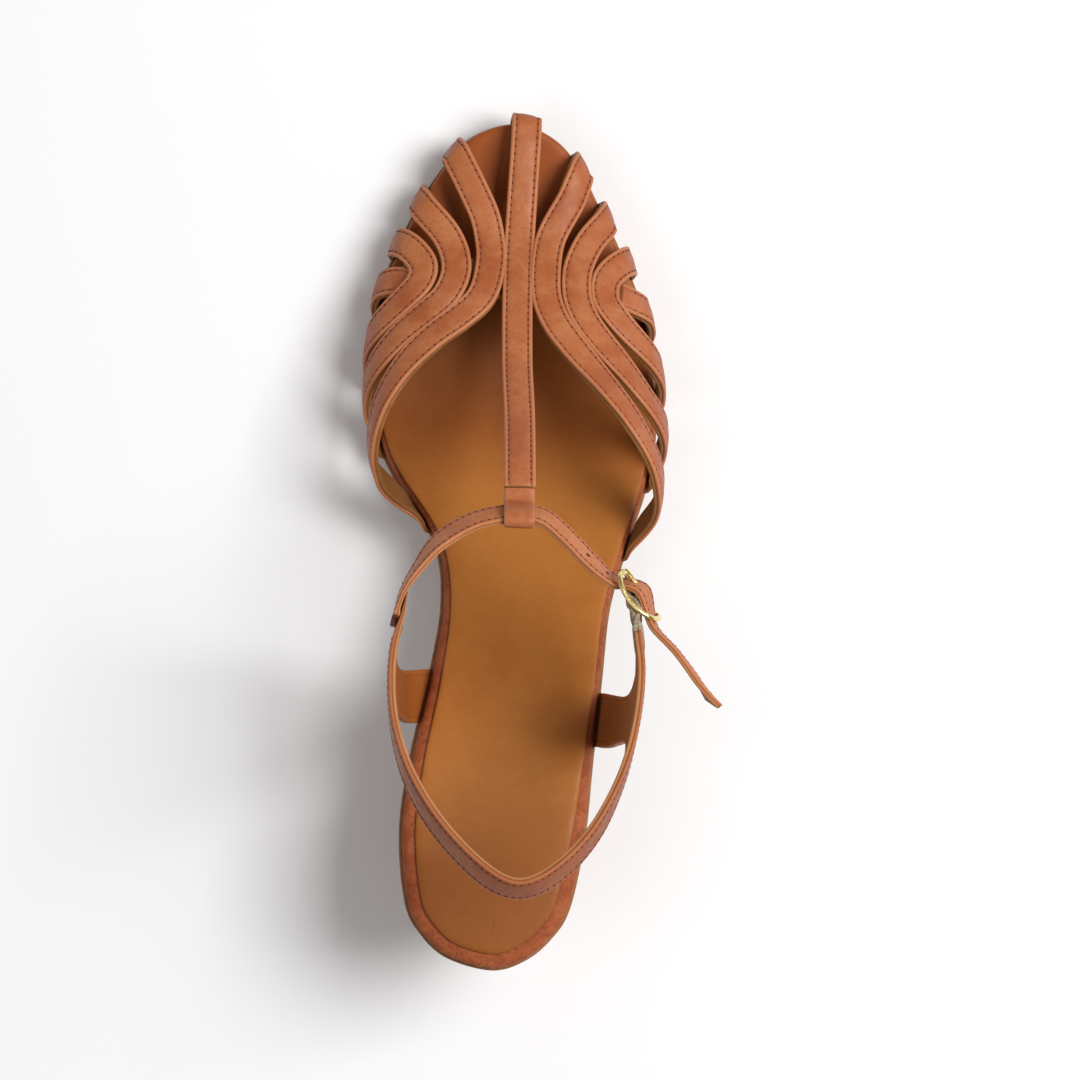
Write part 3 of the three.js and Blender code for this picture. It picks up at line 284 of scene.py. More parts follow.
heel_share = Through(SOLE_ROWS, 1)
toe_share = Through(SOLE_ROWS, 2)
rise = Through(LAST_ROWS, 1)
bulges = {-1: Through(LAST_ROWS, 2), 1: Through(LAST_ROWS, 3)}
widest = Through(LAST_ROWS, 4)
ridge = Through(LAST_ROWS, 5)


def sole_line(y):
    share = min(max(y / FOOT, 0), 1)
    return heel_share(share) * HEEL_HEIGHT + toe_share(share) * TOE_SPRING


def bed_line(y):
    return sole_line(y) + STACK


# Rim of the footbed on one side, from the toe tip to the heel end
class Rim:
    def __init__(self, side):
        own, other = (1, 2) if side < 0 else (2, 1)
        rows = [(side * row[own], row[0]) for row in OUTLINE_ROWS]
        first, last = OUTLINE_ROWS[1], OUTLINE_ROWS[-2]
        rows = [(-side * first[other], first[0]), *rows, (-side * last[other], last[0])]
        steps = 24
        self.points = np.array([
            flow(rows, k / steps) * (HALF_BALL, FOOT)
            for k in range(steps, (len(rows) - 2) * steps + 1)
        ])
        self.way = running(self.points)
        at = np.arange(len(self.points))
        ahead = self.points[np.minimum(at + 14, at[-1])]
        behind = self.points[np.maximum(at - 13, 0)]
        along = unit(ahead - behind)
        outward = np.stack([-along[:, 1] * side, along[:, 0] * side], 1)
        share = np.clip(at / 15, 0, 1)[:, None]
        self.outward = unit(outward * share + (1 - share) * np.array([0.0, 1.0]))

    def place(self, way):
        outward = unit(read_at(way, self.way, self.outward))
        return read_at(way, self.way, self.points), outward

    def half_width(self, y):
        return abs(np.interp(y, self.points[::-1, 1], self.points[::-1, 0]))


rims = {-1: Rim(-1), 1: Rim(1)}


# The last: a point by the way along the rim and the turn round from the ridge, in degrees
def last_point(side, way, turn):
    point, outward = rims[side].place(way)
    fan = FAN_DEPTH * (1 - way / FAN_REACH) ** 2 if way < FAN_REACH else 0
    ridge_y = point[1] - fan
    ridge_x = ridge(ridge_y / FOOT) * HALF_BALL
    share = point[1] / FOOT
    bulge = bulges[side](share) * BULGE
    wide = point + outward * (bulge + RIM_CLEAR)
    widest_up = widest(share) * WIDEST
    if turn <= 90:
        top = bed_line(ridge_y) + rise(ridge_y / FOOT) * INSTEP
        out_share = math.sin(math.radians(turn)) ** ROUNDNESS
        up_share = max(math.cos(math.radians(turn)), 0) ** ROUNDNESS
        wide_z = bed_line(wide[1]) + widest_up
        return np.array([
            ridge_x + (wide[0] - ridge_x) * out_share,
            ridge_y + (wide[1] - ridge_y) * out_share,
            wide_z + (top - wide_z) * up_share,
        ])
    lip = LIP_RADIUS - BED - FIT
    out = RIM_CLEAR
    up = lip
    if turn <= SIDE_TURN:
        t = (turn - 90) / (SIDE_TURN - 90)
        fall = 2.1 * t * (1 - t) ** 2 + t * t * (3 - 2 * t) - 0.5 * t * t * (1 - t)
        up = widest_up + (lip - widest_up) * fall
        out += bulge * smooth(up / widest_up, 0, 1)
    else:
        arc = min((turn - SIDE_TURN) / (LIP_TURN - SIDE_TURN), 1) * math.pi / 2
        out += LIP_RADIUS * (math.cos(arc) - 1)
        up -= LIP_RADIUS * math.sin(arc)
        out -= TUCK * max((turn - LIP_TURN) / (180 - LIP_TURN), 0)
    place = point + outward * out
    return np.array([place[0], place[1], bed_line(place[1]) + up])


def last_normal(side, way, turn):
    step = 0.5
    low = max(turn - step, 0.01)
    along = last_point(side, way + step, turn) - last_point(side, max(way - step, 0), turn)
    around = last_point(side, way, turn + step) - last_point(side, way, low)
    return unit(np.cross(along, around) * side)


def ridge_point(y):
    share = y / FOOT
    return np.array([ridge(share) * HALF_BALL, y, bed_line(y) + rise(share) * INSTEP])


# Meshes
def add_mesh(name, points, faces, materials, kinds=None, marks=None):
    placed = (np.asarray(points, float) - (0, SHIFT, 0)) * MM
    mesh = bpy.data.meshes.new(name)
    mesh.from_pydata(placed.tolist(), [], [list(face) for face in faces])
    for material in materials:
        mesh.materials.append(material)
    if kinds is not None:
        mesh.polygons.foreach_set("material_index", list(kinds))
    for key, values in (marks or {}).items():
        layer = mesh.attributes.new(key, "FLOAT", "POINT")
        layer.data.foreach_set("value", np.asarray(values, np.float32))
    mesh.polygons.foreach_set("use_smooth", [True] * len(mesh.polygons))
    mesh.validate()
    mesh.update()
    piece = bpy.data.objects.new(name, mesh)
    bpy.context.scene.collection.objects.link(piece)
    return piece


def place_piece(piece, slot, *nodes):
    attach(piece, "root")
    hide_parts(*nodes)


# Faces between rings of points, capped at both ends unless the last ring joins the first
def ring_faces(rows, count, base=0, joined=False):
    faces = []
    for i in range(rows if joined else rows - 1):
        a, b = base + i * count, base + (i + 1) % rows * count
        for k in range(count):
            m = (k + 1) % count
            faces.append((a + k, a + m, b + m, b + k))
    if not joined:
        last = base + (rows - 1) * count
        faces.append(tuple(range(base, base + count))[::-1])
        faces.append(tuple(range(last, last + count)))
    return faces


def loft(name, rings, materials):
    faces = ring_faces(len(rings), len(rings[0]))
    return add_mesh(name, np.concatenate(rings), faces, materials)


# Rings of points round a line, from each middle's two directions and radius
def circles(middles, first, second, radii, corners, squash=1.0):
    turn = 2 * np.pi * np.arange(corners)[:, None] / corners
    spokes = first[:, None] * np.cos(turn) + second[:, None] * (np.sin(turn) * squash)
    return middles[:, None] + spokes * np.broadcast_to(radii, len(middles))[:, None, None]


# Frames along a line: middle, along, edge, face and running length
def make_frames(middles, faces, ease):
    middles = np.asarray(middles, float)
    faces = np.asarray(faces, float)
    for _ in range(ease):
        faces[1:-1] = (faces[:-2] + 2 * faces[1:-1] + faces[2:]) / 4
    along = tangents(middles)
    edge = unit(np.cross(faces, along))
    return {
        "middle": middles, "along": along, "edge": edge, "face": np.cross(along, edge),
        "run": running(middles),
    }


# Evenly spaced samples of a line function over its parameter
def even_samples(line, count, spacing):
    coarse = np.linspace(0, count, int(count * 12) + 1)
    run = running([line(at)[0] for at in coarse])
    steps = max(int(run[-1] / spacing), 4)
    places = np.interp(np.linspace(0, run[-1], steps + 1), run, coarse)
    return [line(at) for at in places], places


# Half section of a strap with a lip outside each stitch row, ply by ply: across, height, and
# the marks of lip and seam where they aren't 0
STRAP_LOWER = [
    (0, 0), (2.4, 0), (3.95, 0), (4.26, 0.1), (4.38, 0.42), (4.36, 0.86, 0, 0.2),
    (4.14, 1.1, 0, 1),
]
STRAP_UPPER = [
    (4.16, 1.2, 0, 1), (4.42, 1.42, 0.5, 0.2), (4.46, 1.78, 0.9), (4.34, 2.1, 1), (4.06, 2.31, 1),
    (3.7, 2.36, 0.8), (3.4, 2.24, 0.3, 0.4), (3.18, 2.08, 0, 1), (2.96, 2.18, 0, 0.4),
    (2.66, 2.36), (2, 2.47), (1, 2.54), (0, 2.56),
]
SEAM_ACROSS = 3.18
SEAM_HEIGHT = 2.1


# Closed section from the rows of its plies
def full_section(*plies):
    half = [
        (*row, *[0] * (4 - len(row)), ply) for ply, rows in enumerate(plies) for row in rows]
    return [*half[1:], *((-row[0], *row[1:]) for row in reversed(half[1:-1]))]


# Mesh over copies of a section, with marks for its lip, its seam and both ends
def skin(name, points, section, materials):
    count = len(section)
    rows = len(points) // count
    plies = [row[4] for row in section]
    kinds = [min(pair) for pair in zip(plies, plies[1:] + plies[:1])] * (rows - 1)
    marks = {
        "lip": np.tile([row[2] for row in section], rows),
        "seam": np.tile([row[3] for row in section], rows),
        "end": np.repeat([1.0] + [0.0] * (rows - 2) + [1.0], count),
    }
    return add_mesh(name, points, ring_faces(rows, count), materials, [*kinds, 0, 0], marks)


def sweep(name, frames, section, materials, heights=1.0, widths=1.0):
    rows = len(frames["middle"])
    across = np.outer(np.broadcast_to(widths, rows), [row[0] for row in section])
    up = np.outer(np.broadcast_to(heights, rows), [row[1] for row in section])
    points = (
        frames["middle"][:, None]
        + frames["edge"][:, None] * across[..., None]
        + frames["face"][:, None] * up[..., None]
    )
    return skin(name, points.reshape(-1, 3), section, materials)


# Thread's radius and half stitch over the pitch, needle holes' size and slant, a punched hole
THREAD = 0.13
THREAD_SHARE = 0.42
HOLE = 0.33
HOLE_SLANT = 0.35
PUNCH = 0.7


# Thread stitches with their needle holes, gathered for one mesh
class Stitches:
    def __init__(self):
        self.points, self.faces, self.kinds = [], [], []

    def add_rings(self, rings, kind):
        faces = ring_faces(*rings.shape[:2], len(self.points))
        self.points += list(rings.reshape(-1, 3))
        self.faces += faces
        self.kinds += [kind] * len(faces)

    def capsule(self, centre, along, side, up, half, radius, lift, kind):
        t = np.linspace(-1, 1, 5)[:, None]
        middles = centre + along * (half * t) + up * (lift * (1 - t * t))
        radii = radius * np.sqrt(np.maximum(1 - t[:, 0] ** 2, 0.02))
        self.add_rings(circles(middles, side[None], up[None], radii, 6), kind)

    def line(self, points, sides, ups, pitch):
        points, sides, ups = (np.asarray(rows, float) for rows in (points, sides, ups))
        run = running(points)
        count = max(int(run[-1] / pitch), 1)
        pitch = run[-1] / count
        for i in range(count):
            s = (i + 0.5) * pitch
            start, centre, end = read_at([s - pitch / 2, s, s + pitch / 2], run, points)
            side, side_end = unit(read_at([s, s + pitch / 2], run, sides))
            up, up_end = unit(read_at([s, s + pitch / 2], run, ups))
            along = unit(end - start)
            self.capsule(centre, along, side, up, pitch * THREAD_SHARE, THREAD, 0.06, 0)
            # Needle hole at the stitch's end: a dark capsule, painted shade of the hole
            slant = unit(along + side_end * HOLE_SLANT)
            across = unit(side_end - along * HOLE_SLANT)
            hole = end + up_end * 0.02
            self.capsule(hole, slant, across, up_end, HOLE * 1.3, HOLE * 0.9, 0, 1)

    def band(self, frames, across, height, pitch, start, end, heights):
        chosen = (frames["run"] >= start) & (frames["run"] <= end)
        middle, edge, face = (frames[key][chosen] for key in ("middle", "edge", "face"))
        lift = (height * heights)[chosen, None]
        self.line(middle + edge * across + face * lift, edge, face, pitch)

    # A punched hole, drawn as a dark flat disc in the leather: painted shade of the hole
    def punch(self, centre, along, side, up):
        middles = centre + up * np.array([[-0.1], [0.05]])
        self.add_rings(circles(middles, along[None], side[None], PUNCH, 16), 1)

    def build(self, name):
        return add_mesh(name, self.points, self.faces, [thread, needle_hole_shade], self.kinds)


# Materials
def linear(red, green, blue):
    def one(value):
        value /= 255
        return value / 12.92 if value <= 0.04045 else ((value + 0.055) / 1.055) ** 2.4

    return (one(red), one(green), one(blue), 1.0)


class Nodes:
    def __init__(self, tree):
        self.tree = tree
        self.place = tree.nodes.new("ShaderNodeTexCoord").outputs["Object"]

    def link(self, source, target):
        if isinstance(source, bpy.types.NodeSocket):
            self.tree.links.new(source, target)
        else:
            target.default_value = source

    # A new node with its inputs, given as values or as outputs of other nodes
    def add(self, kind, inputs):
        node = self.tree.nodes.new("ShaderNode" + kind)
        for key, source in inputs.items():
            self.link(source, node.inputs[key])
        return node

    def noise(self, scale, detail=3.0, rough=0.5):
        node = self.add("TexNoise", {
            "Vector": self.place, "Scale": scale, "Detail": detail, "Roughness": rough})
        return node.outputs["Fac"]

    def cells(self, scale):
        return self.add("TexVoronoi", {"Vector": self.place, "Scale": scale}).outputs["Distance"]

    def ramp(self, value, low, high, to_low=0.0, to_high=1.0):
        node = self.add("MapRange", {
            "Value": value, "From Min": low, "From Max": high, "To Min": to_low, "To Max": to_high})
        node.interpolation_type = "SMOOTHSTEP"
        return node.outputs["Result"]

    def mix(self, share, first, second, blend="MIX"):
        node = self.tree.nodes.new("ShaderNodeMix")
        node.data_type = "RGBA"
        node.blend_type = blend
        for key, source in ((0, share), (6, first), (7, second)):
            self.link(source, node.inputs[key])
        return node.outputs[2]

    def maths(self, kind, first, second=0.0):
        node = self.add("Math", {0: first, 1: second})
        node.operation = kind
        return node.outputs[0]

    def times(self, value, factor):
        return self.maths("MULTIPLY", value, factor)

    def mark(self, name):
        node = self.add("Attribute", {})
        node.attribute_name = name
        return node.outputs["Fac"]

    # One on upright faces and none on level ones
    def steepness(self):
        normal = self.add("NewGeometry", {}).outputs["Normal"]
        level = self.add("SeparateXYZ", {0: normal}).outputs["Z"]
        return self.ramp(self.maths("ABSOLUTE", level), 0.15, 0.85, 1.0, 0.0)

    def bump(self, height, strength, distance):
        node = self.add("Bump", {"Strength": strength, "Distance": distance, "Height": height})
        return node.outputs["Normal"]


def new_material(name):
    material = bpy.data.materials.new(name)
    material.use_nodes = True
    tree = material.node_tree
    return material, Nodes(tree), tree.nodes["Principled BSDF"]


def leather(name, tones, seam_tone, lip_tone, grain, gloss, mottling=1.0, marks=True,
            burnish_and_side_shade=None, zones=()):
    material, nodes, shader = new_material(name)
    wide = nodes.ramp(nodes.noise(28, 2), 0.35, 0.65)
    patches = nodes.ramp(nodes.noise(130, 4, 0.6), 0.38, 0.66)
    speck = nodes.ramp(nodes.noise(900, 4, 0.65), 0.46, 0.7)
    colour = nodes.mix(wide, linear(*tones[0]), linear(*tones[1]))
    colour = nodes.mix(nodes.times(patches, 0.55 * mottling), colour, linear(*tones[2]))
    colour = nodes.mix(nodes.times(speck, 0.4 * mottling), colour, linear(*tones[3]))
    if burnish_and_side_shade:
        # Random burnished patches, plus painted shade that darkens upright faces such as the strap
        # sides where they turn down
        burnish_and_shade_mask = nodes.ramp(nodes.noise(64, 3, 0.55), 0.48, 0.68, 0.0, 0.6)
        burnish_and_shade_mask = nodes.maths("MAXIMUM", burnish_and_shade_mask, nodes.times(nodes.steepness(), 0.75))
        colour = nodes.mix(burnish_and_shade_mask, colour, linear(*burnish_and_side_shade))
    for mark, tone in zones:
        colour = nodes.mix(nodes.mark(mark), colour, linear(*tone), "MULTIPLY")
    if marks:
        colour = nodes.mix(nodes.times(nodes.mark("lip"), 0.6), colour, linear(*lip_tone))
        colour = nodes.mix(nodes.times(nodes.mark("seam"), 0.36), colour, linear(*seam_tone))
    nodes.link(colour, shader.inputs["Base Color"])
    rough = nodes.ramp(nodes.noise(420, 3), 0.3, 0.7, gloss - 0.07, gloss + 0.09)
    nodes.link(rough, shader.inputs["Roughness"])
    height = nodes.maths("ADD", nodes.times(nodes.cells(1500), 0.55), nodes.noise(2600, 3, 0.6))
    height = nodes.maths("ADD", height, nodes.times(nodes.noise(260, 3), 1.4))
    nodes.link(nodes.bump(height, grain, 0.00012), shader.inputs["Normal"])
    shader.inputs["Specular IOR Level"].default_value = 0.24
    shader.inputs["Sheen Weight"].default_value = 0.03
    shader.inputs["Sheen Roughness"].default_value = 0.4
    return material


CUT_END = [("end", (186, 150, 130))]
# Strap leather: random burnished patches, and painted shade darkening its upright sides
strap_leather = leather(
    "strap_leather",
    [(174, 102, 60), (162, 88, 48), (184, 118, 76), (144, 74, 40)],
    (120, 56, 30), (190, 122, 82), 0.3, 0.44, burnish_and_side_shade=(146, 68, 32))
ankle_leather = leather(
    "ankle_leather",
    [(182, 110, 66), (170, 96, 54), (190, 124, 82), (150, 80, 46)],
    (124, 60, 32), (188, 120, 78), 0.3, 0.5, zones=CUT_END)
back_leather = leather(
    "back_leather",
    [(148, 80, 44), (138, 70, 36), (156, 92, 54), (122, 58, 28)],
    (92, 42, 20), (174, 106, 62), 0.3, 0.46)
lining = leather(
    "lining",
    [(142, 94, 48), (130, 82, 38), (150, 104, 56), (112, 68, 30)],
    (82, 46, 22), (166, 120, 72), 0.3, 0.6)
band_lining = leather(
    "band_lining",
    [(148, 88, 40), (136, 76, 32), (158, 98, 50), (118, 62, 26)],
    (92, 44, 22), (200, 142, 96), 0.4, 0.62, zones=CUT_END)
rim_leather = leather(
    "rim_leather",
    [(150, 74, 38), (138, 64, 30), (162, 88, 50), (108, 48, 24)],
    (90, 44, 24), (160, 92, 56), 0.8, 0.7, 1.7, marks=False)
# Sock leather with painted light in zones: painted shade at the heel, painted shade under the straps
# in the middle (partly foot wear), and a redder, darker toe painted for light reflected off the red
# straps
sock_leather = leather(
    "sock_leather",
    [(168, 103, 41), (160, 94, 35), (174, 109, 46), (150, 86, 31)],
    (112, 62, 24), (160, 98, 42), 0.16, 0.5, 0.6,
    zones=(("heel", (212, 196, 160)), ("toe", (240, 204, 190)), ("middle", (212, 186, 130))))
# Quarter lining: the sock's leather, painted darker for the shade on the quarters' inner faces
shaded_quarter_lining = leather(
    "shaded_quarter_lining",
    [(144, 80, 28), (136, 72, 23), (150, 88, 34), (122, 62, 18)],
    (104, 54, 20), (160, 98, 46), 0.2, 0.5, 0.5)
heel_leather = leather(
    "heel_leather",
    [(150, 82, 46), (140, 74, 40), (158, 92, 54), (122, 62, 34)],
    (84, 42, 22), (158, 92, 54), 0.3, 0.5, marks=False)


def plain(name, tone, dark, rough, scale, bump=0.2, metal=0.0):
    material, nodes, shader = new_material(name)
    shade = nodes.ramp(nodes.noise(scale, 4, 0.6), 0.35, 0.68)
    nodes.link(nodes.mix(shade, linear(*tone), linear(*dark)), shader.inputs["Base Color"])
    rough_map = nodes.ramp(nodes.noise(scale * 3, 3), 0.3, 0.7, rough - 0.05, rough + 0.08)
    nodes.link(rough_map, shader.inputs["Roughness"])
    nodes.link(nodes.bump(nodes.noise(scale * 8, 3), bump, 0.00008), shader.inputs["Normal"])
    shader.inputs["Metallic"].default_value = metal
    return material


thread = plain("thread", (150, 82, 48), (136, 70, 38), 0.6, 900)
# Dark spots for the needle holes and punched holes: painted shade of the holes
needle_hole_shade = plain("needle_hole_shade", (98, 34, 12), (78, 26, 8), 0.9, 900)
sole_rubber = plain("sole_rubber", (150, 98, 56), (132, 84, 46), 0.75, 220)
lift_rubber = plain("lift_rubber", (72, 48, 34), (58, 38, 28), 0.7, 260)
brass = plain("pale_brass", (236, 214, 148), (226, 200, 128), 0.18, 120, 0.03, 1.0)
elastic_weave = plain("elastic_weave", (172, 154, 132), (130, 110, 88), 0.85, 1400, 0.6)


# Straps grow thin where they go under the footbed's rim
def thinned(turn):
    return 1 - 0.5 * smooth(turn, 104, 150)


# Turns the frames about their line so that the edge on the given side stands up
def roll_frames(frames, angle, toward):
    sign = np.sign(frames["edge"] @ np.array(toward, float))
    angle = (angle * sign)[:, None]
    edge, face = frames["edge"], frames["face"]
    frames["edge"] = edge * np.cos(angle) + face * np.sin(angle)
    frames["face"] = face * np.cos(angle) - edge * np.sin(angle)


# Frames and heights of a fan strap on the last, the long ones rolled a little at the toe
def fan_frames(side, rows):
    def line(at):
        way, turn = flow(rows, at)
        turn = min(max(turn, 0), 180)
        way *= FOOT
        return last_point(side, way, turn), last_normal(side, way, min(turn, 179)), turn

    found, _ = even_samples(line, len(rows) - 1, 0.9)
    middles, normals, turns = map(np.array, zip(*found))
    ease = smooth(turns, 62, 92) * (1 - smooth(turns, 132, 146))
    for _ in range(40):
        mean = (middles[:-2] + 2 * middles[1:-1] + middles[2:]) / 4
        middles[1:-1] += (mean - middles[1:-1]) * ease[1:-1, None]
    frames = make_frames(middles, normals, 4)
    run = frames["run"]
    if run[-1] >= LONG_STRAP:
        top = run[np.argmax(turns < 92)]
        share = smooth(run, top - 9, top) * (1 - smooth(run, top + 2, top + 24))
        roll_frames(frames, np.radians(TOE_ROLL[side]) * share, (0, 1, 0))
    return frames, thinned(turns)


LONG_STRAP = 50
fan_section = full_section(STRAP_LOWER, STRAP_UPPER)
front_stitches = Stitches()
for name, (side, rows) in FAN.items():
    frames, heights = fan_frames(side, rows)
    short = name.endswith("short")
    if short:
        sink = 1.7 * (1 - smooth(frames["run"], 3, 12))
        frames["middle"] = frames["middle"] - frames["face"] * sink[:, None]
    piece = sweep("strap_" + name, frames, fan_section, [lining, strap_leather], heights)
    place_piece(piece, "strap_leather", "upper_front")
    start, stop = 2 if short else 8, frames["run"][-1] - 8
    for across in (-SEAM_ACROSS, SEAM_ACROSS):
        front_stitches.band(frames, across, SEAM_HEIGHT, FAN_PITCH, start, stop, heights)


# Bar of the T, from its tuck under the toe along the ridge to the loop
def bar_line():
    spots = []
    for turn in np.concatenate([np.linspace(180, 140, 22), np.linspace(138, 8, 45)]):
        normal = last_normal(1, BAR_REACH, min(turn, 179))
        normal[0] = 0
        point = last_point(1, BAR_REACH, turn)
        spots.append((point, unit(normal), thinned(turn)))
    for y in np.arange(FOOT - FAN_DEPTH, LOOP_START, -1.0):
        spots.append((ridge_point(y), np.array([0.0, 0.0, 1.0]), 1.0))
    return spots


middles, normals, bar_heights = map(np.array, zip(*bar_line()))
bar = make_frames(middles, normals, 6)
bar_share = smooth(bar["run"], 6, 13) * (1 - smooth(bar["run"], 16, 44))
roll_frames(bar, math.radians(BAR_ROLL) * bar_share, (-1, 0, 0))
piece = sweep("bar", bar, fan_section, [lining, strap_leather], bar_heights)
place_piece(piece, "strap_leather", "upper_front")
seam_end = bar["run"][np.argmin(np.abs(bar["middle"][:, 1] - CROSS_SEAM))]
for across in (-SEAM_ACROSS, SEAM_ACROSS):
    front_stitches.band(bar, across, SEAM_HEIGHT, BAR_PITCH, 8, seam_end, bar_heights)


# Frames of an ankle band: its line over the footbed, its lean and its shift off the line
def ankle_frames(rows, spacing=0.9):
    def line(at):
        along, across, up, lean, out = flow(rows, at)
        y = along * FOOT
        return np.array([across * HALF_BALL, y, bed_line(y) + up * INSTEP]), lean, out

    found, at = even_samples(line, len(rows) - 1, spacing)
    middle, lean, out = map(np.array, zip(*found))
    along = tangents(middle)
    outward = np.cross(unit(along * (1, 1, 0)), [0.0, 0.0, 1.0])
    lean = np.radians(lean)[:, None]
    tilted = np.array([0.0, 0.0, 1.0]) * np.cos(lean) - outward * np.sin(lean)
    edge = unit(tilted - along * np.sum(tilted * along, 1, keepdims=True))
    face = unit(np.cross(along, edge))
    middle = middle + face * (out[:, None] * PLIES)
    run = running(middle)
    return {"middle": middle, "along": along, "edge": edge, "face": face, "run": run, "at": at}


# Section of an ankle band: two plies with a raw edge between their rounded faces
BAND_LOWER = [
    (0, -1.3), (2.6, -1.3), (3.3, -1.22, 0, 0.5), (3.7, -1.3, 0.4), (4.2, -1.2, 0.6),
    (4.44, -0.9, 0.9), (4.48, -0.4, 0.7), (4.32, -0.08, 0, 0.9),
]
BAND_UPPER = [
    (4.32, 0.02, 0, 0.9), (4.48, 0.3, 0.7), (4.46, 0.82, 1), (4.24, 1.16, 1), (3.86, 1.26, 0.6),
    (3.5, 1.16, 0.1, 0.5), (3.3, 1.06, 0, 1), (3.1, 1.14, 0, 0.5), (2.7, 1.27), (1.5, 1.32),
    (0, 1.34),
]
BAND_SEAM = 3.3
BAND_SEAM_HEIGHT = 1.08
BAND_TOP = 1.34
band_section = full_section(BAND_LOWER, BAND_UPPER)
ankle_stitches = Stitches()
back = ankle_frames(BACK_ROWS)
lapped = 1 - smooth(back["run"], LAP - 4, LAP + 6)
back_start = 1 - smooth(back["run"], 0, 8)
back_heights = 0.85 - 0.35 * lapped - 0.3 * back_start
back["middle"] = back["middle"] + back["face"] * (0.3 * back_start - 0.62 * lapped)[:, None]
piece = sweep(
    "back_strap", back, band_section, [band_lining, back_leather],
    back_heights, 1 - 0.3 * back_start)
place_piece(piece, "strap_leather", "upper_back")
strap = ankle_frames(STRAP_ROWS)
from_end = strap["run"][-1] - strap["run"]
lapped = 1 - smooth(from_end, LAP - 5, LAP + 3)
strap_heights = STRAP_THIN - 0.22 * lapped + 0.3 * (1 - smooth(from_end, 0.9, 2.2))
piece = sweep("ankle_band", strap, band_section, [band_lining, ankle_leather], strap_heights)
place_piece(piece, "strap_leather", "ankle_strap")
for band, heights, start in ((back, back_heights, LAP + 1), (strap, strap_heights, 2)):
    for across in (-BAND_SEAM, BAND_SEAM):
        ankle_stitches.band(
            band, across, BAND_SEAM_HEIGHT, BAND_PITCH, start, band["run"][-1] - 2, heights)


# Two spare holes between the buckle and the loop
buckle_run = np.interp(BUCKLE_ROW, strap["at"], strap["run"])
for way in SPARE_HOLES:
    k = int(np.argmin(np.abs(strap["run"] - buckle_run - way)))
    surface = strap["middle"][k] + strap["face"][k] * (BAND_TOP * strap_heights[k])
    ankle_stitches.punch(surface, strap["along"][k], strap["edge"][k], strap["face"][k])


# Values with one more at each end, straight on from the last two
def extended(values):
    return np.concatenate([2 * values[:1] - values[1:2], values, 2 * values[-1:] - values[-2:-1]])


# Smooth curve through a few points, read again at an even spacing
def curve_through(spots, spacing):
    spots = np.asarray(spots, float)
    knots = running(spots, 0.5)
    full, times = extended(spots), extended(knots)
    dense = []
    for i in range(len(spots) - 1):
        knot = times[i:i + 4]
        for t in np.linspace(knot[1], knot[2], 24, endpoint=False):
            blend = full[i:i + 4]
            for pairs in (((0, 1), (1, 2), (2, 3)), ((0, 2), (1, 3)), ((1, 2),)):
                blend = [
                    (knot[b] - t) / (knot[b] - knot[a]) * p
                    + (t - knot[a]) / (knot[b] - knot[a]) * q
                    for (a, b), p, q in zip(pairs, blend, blend[1:])
                ]
            dense.append(blend[0])
    dense = np.array([*dense, spots[-1]])
    run = running(dense)
    return read_at(np.linspace(0, run[-1], max(int(run[-1] / spacing), 4) + 1), run, dense)


# Loop at the top of the bar, folded round the ankle strap
def loop_frames():
    middle_x = ridge_point(LOOP_START)[0]
    k = int(np.argmin(np.abs(strap["middle"][:, 0] - middle_x)))
    middle, face, edge = strap["middle"][k], strap["face"][k], strap["edge"][k]
    gap = PLIES / 2 * STRAP_THIN + 0.15
    fold = face * (gap + 0.8)
    reach = 4.5
    joint = ridge_point(LOOP_START + 2)
    up = np.array([0.0, 0.0, 1.0])
    spots = [
        joint + up * 1.2,
        middle - edge * reach * 0.85 + face * (gap + 0.9),
        middle + fold,
        middle + edge * reach * 0.8 + fold,
        middle + edge * (reach + 1.1) + face * gap * 0.6,
        middle + edge * (reach + 1.1) - face * gap * 0.6,
        middle + edge * reach * 0.8 - fold,
        middle - fold,
        middle - edge * reach * 0.9 - fold,
        joint + up * 0.48,
    ]
    line = curve_through(spots, 0.6)
    line[:, 0] = joint[0]
    tangent = np.gradient(line, axis=0)
    faces = -unit(np.cross([1.0, 0.0, 0.0], tangent))
    return make_frames(line, faces, 3)


LOOP_LOWER = [
    (0, -0.8), (3.6, -0.8), (4.1, -0.66), (4.3, -0.3, 0.3),
]
LOOP_UPPER = [
    (4.34, 0.2, 0.6), (4.22, 0.56, 0.8), (3.8, 0.76, 0.4), (2.4, 0.84), (0, 0.86),
]
piece = sweep("bar_loop", loop_frames(), full_section(LOOP_LOWER, LOOP_UPPER), [lining, strap_leather])
place_piece(piece, "strap_leather", "upper_front")


# Underlay beneath the crossing of the straps
def underlay_frames():
    way = 0.255 * FOOT
    middles, faces = [], []
    for turn in np.linspace(-62, 62, 80):
        side = -1 if turn < 0 else 1
        round_turn = max(abs(turn), 0.5)
        middles.append(last_point(side, way, round_turn))
        faces.append(last_normal(side, way, round_turn))
    return make_frames(middles, faces, 6)


UNDERLAY_HALF = [
    (0, -0.6), (6.3, -0.6), (6.5, -0.3), (6.3, 0.1), (0, 0.1),
]
piece = sweep("underlay", underlay_frames(), full_section(UNDERLAY_HALF), [lining])
place_piece(piece, "strap_leather", "upper_front")


# Quarters, from their slots at the rim up into the back strap
HALF_QUARTER = 7.75
QUARTER_SEAM = 6.25 / HALF_QUARTER
QUARTER_MIDDLE = 1.05
QUARTER_SEAM_LIFT = 2.02 - QUARTER_MIDDLE


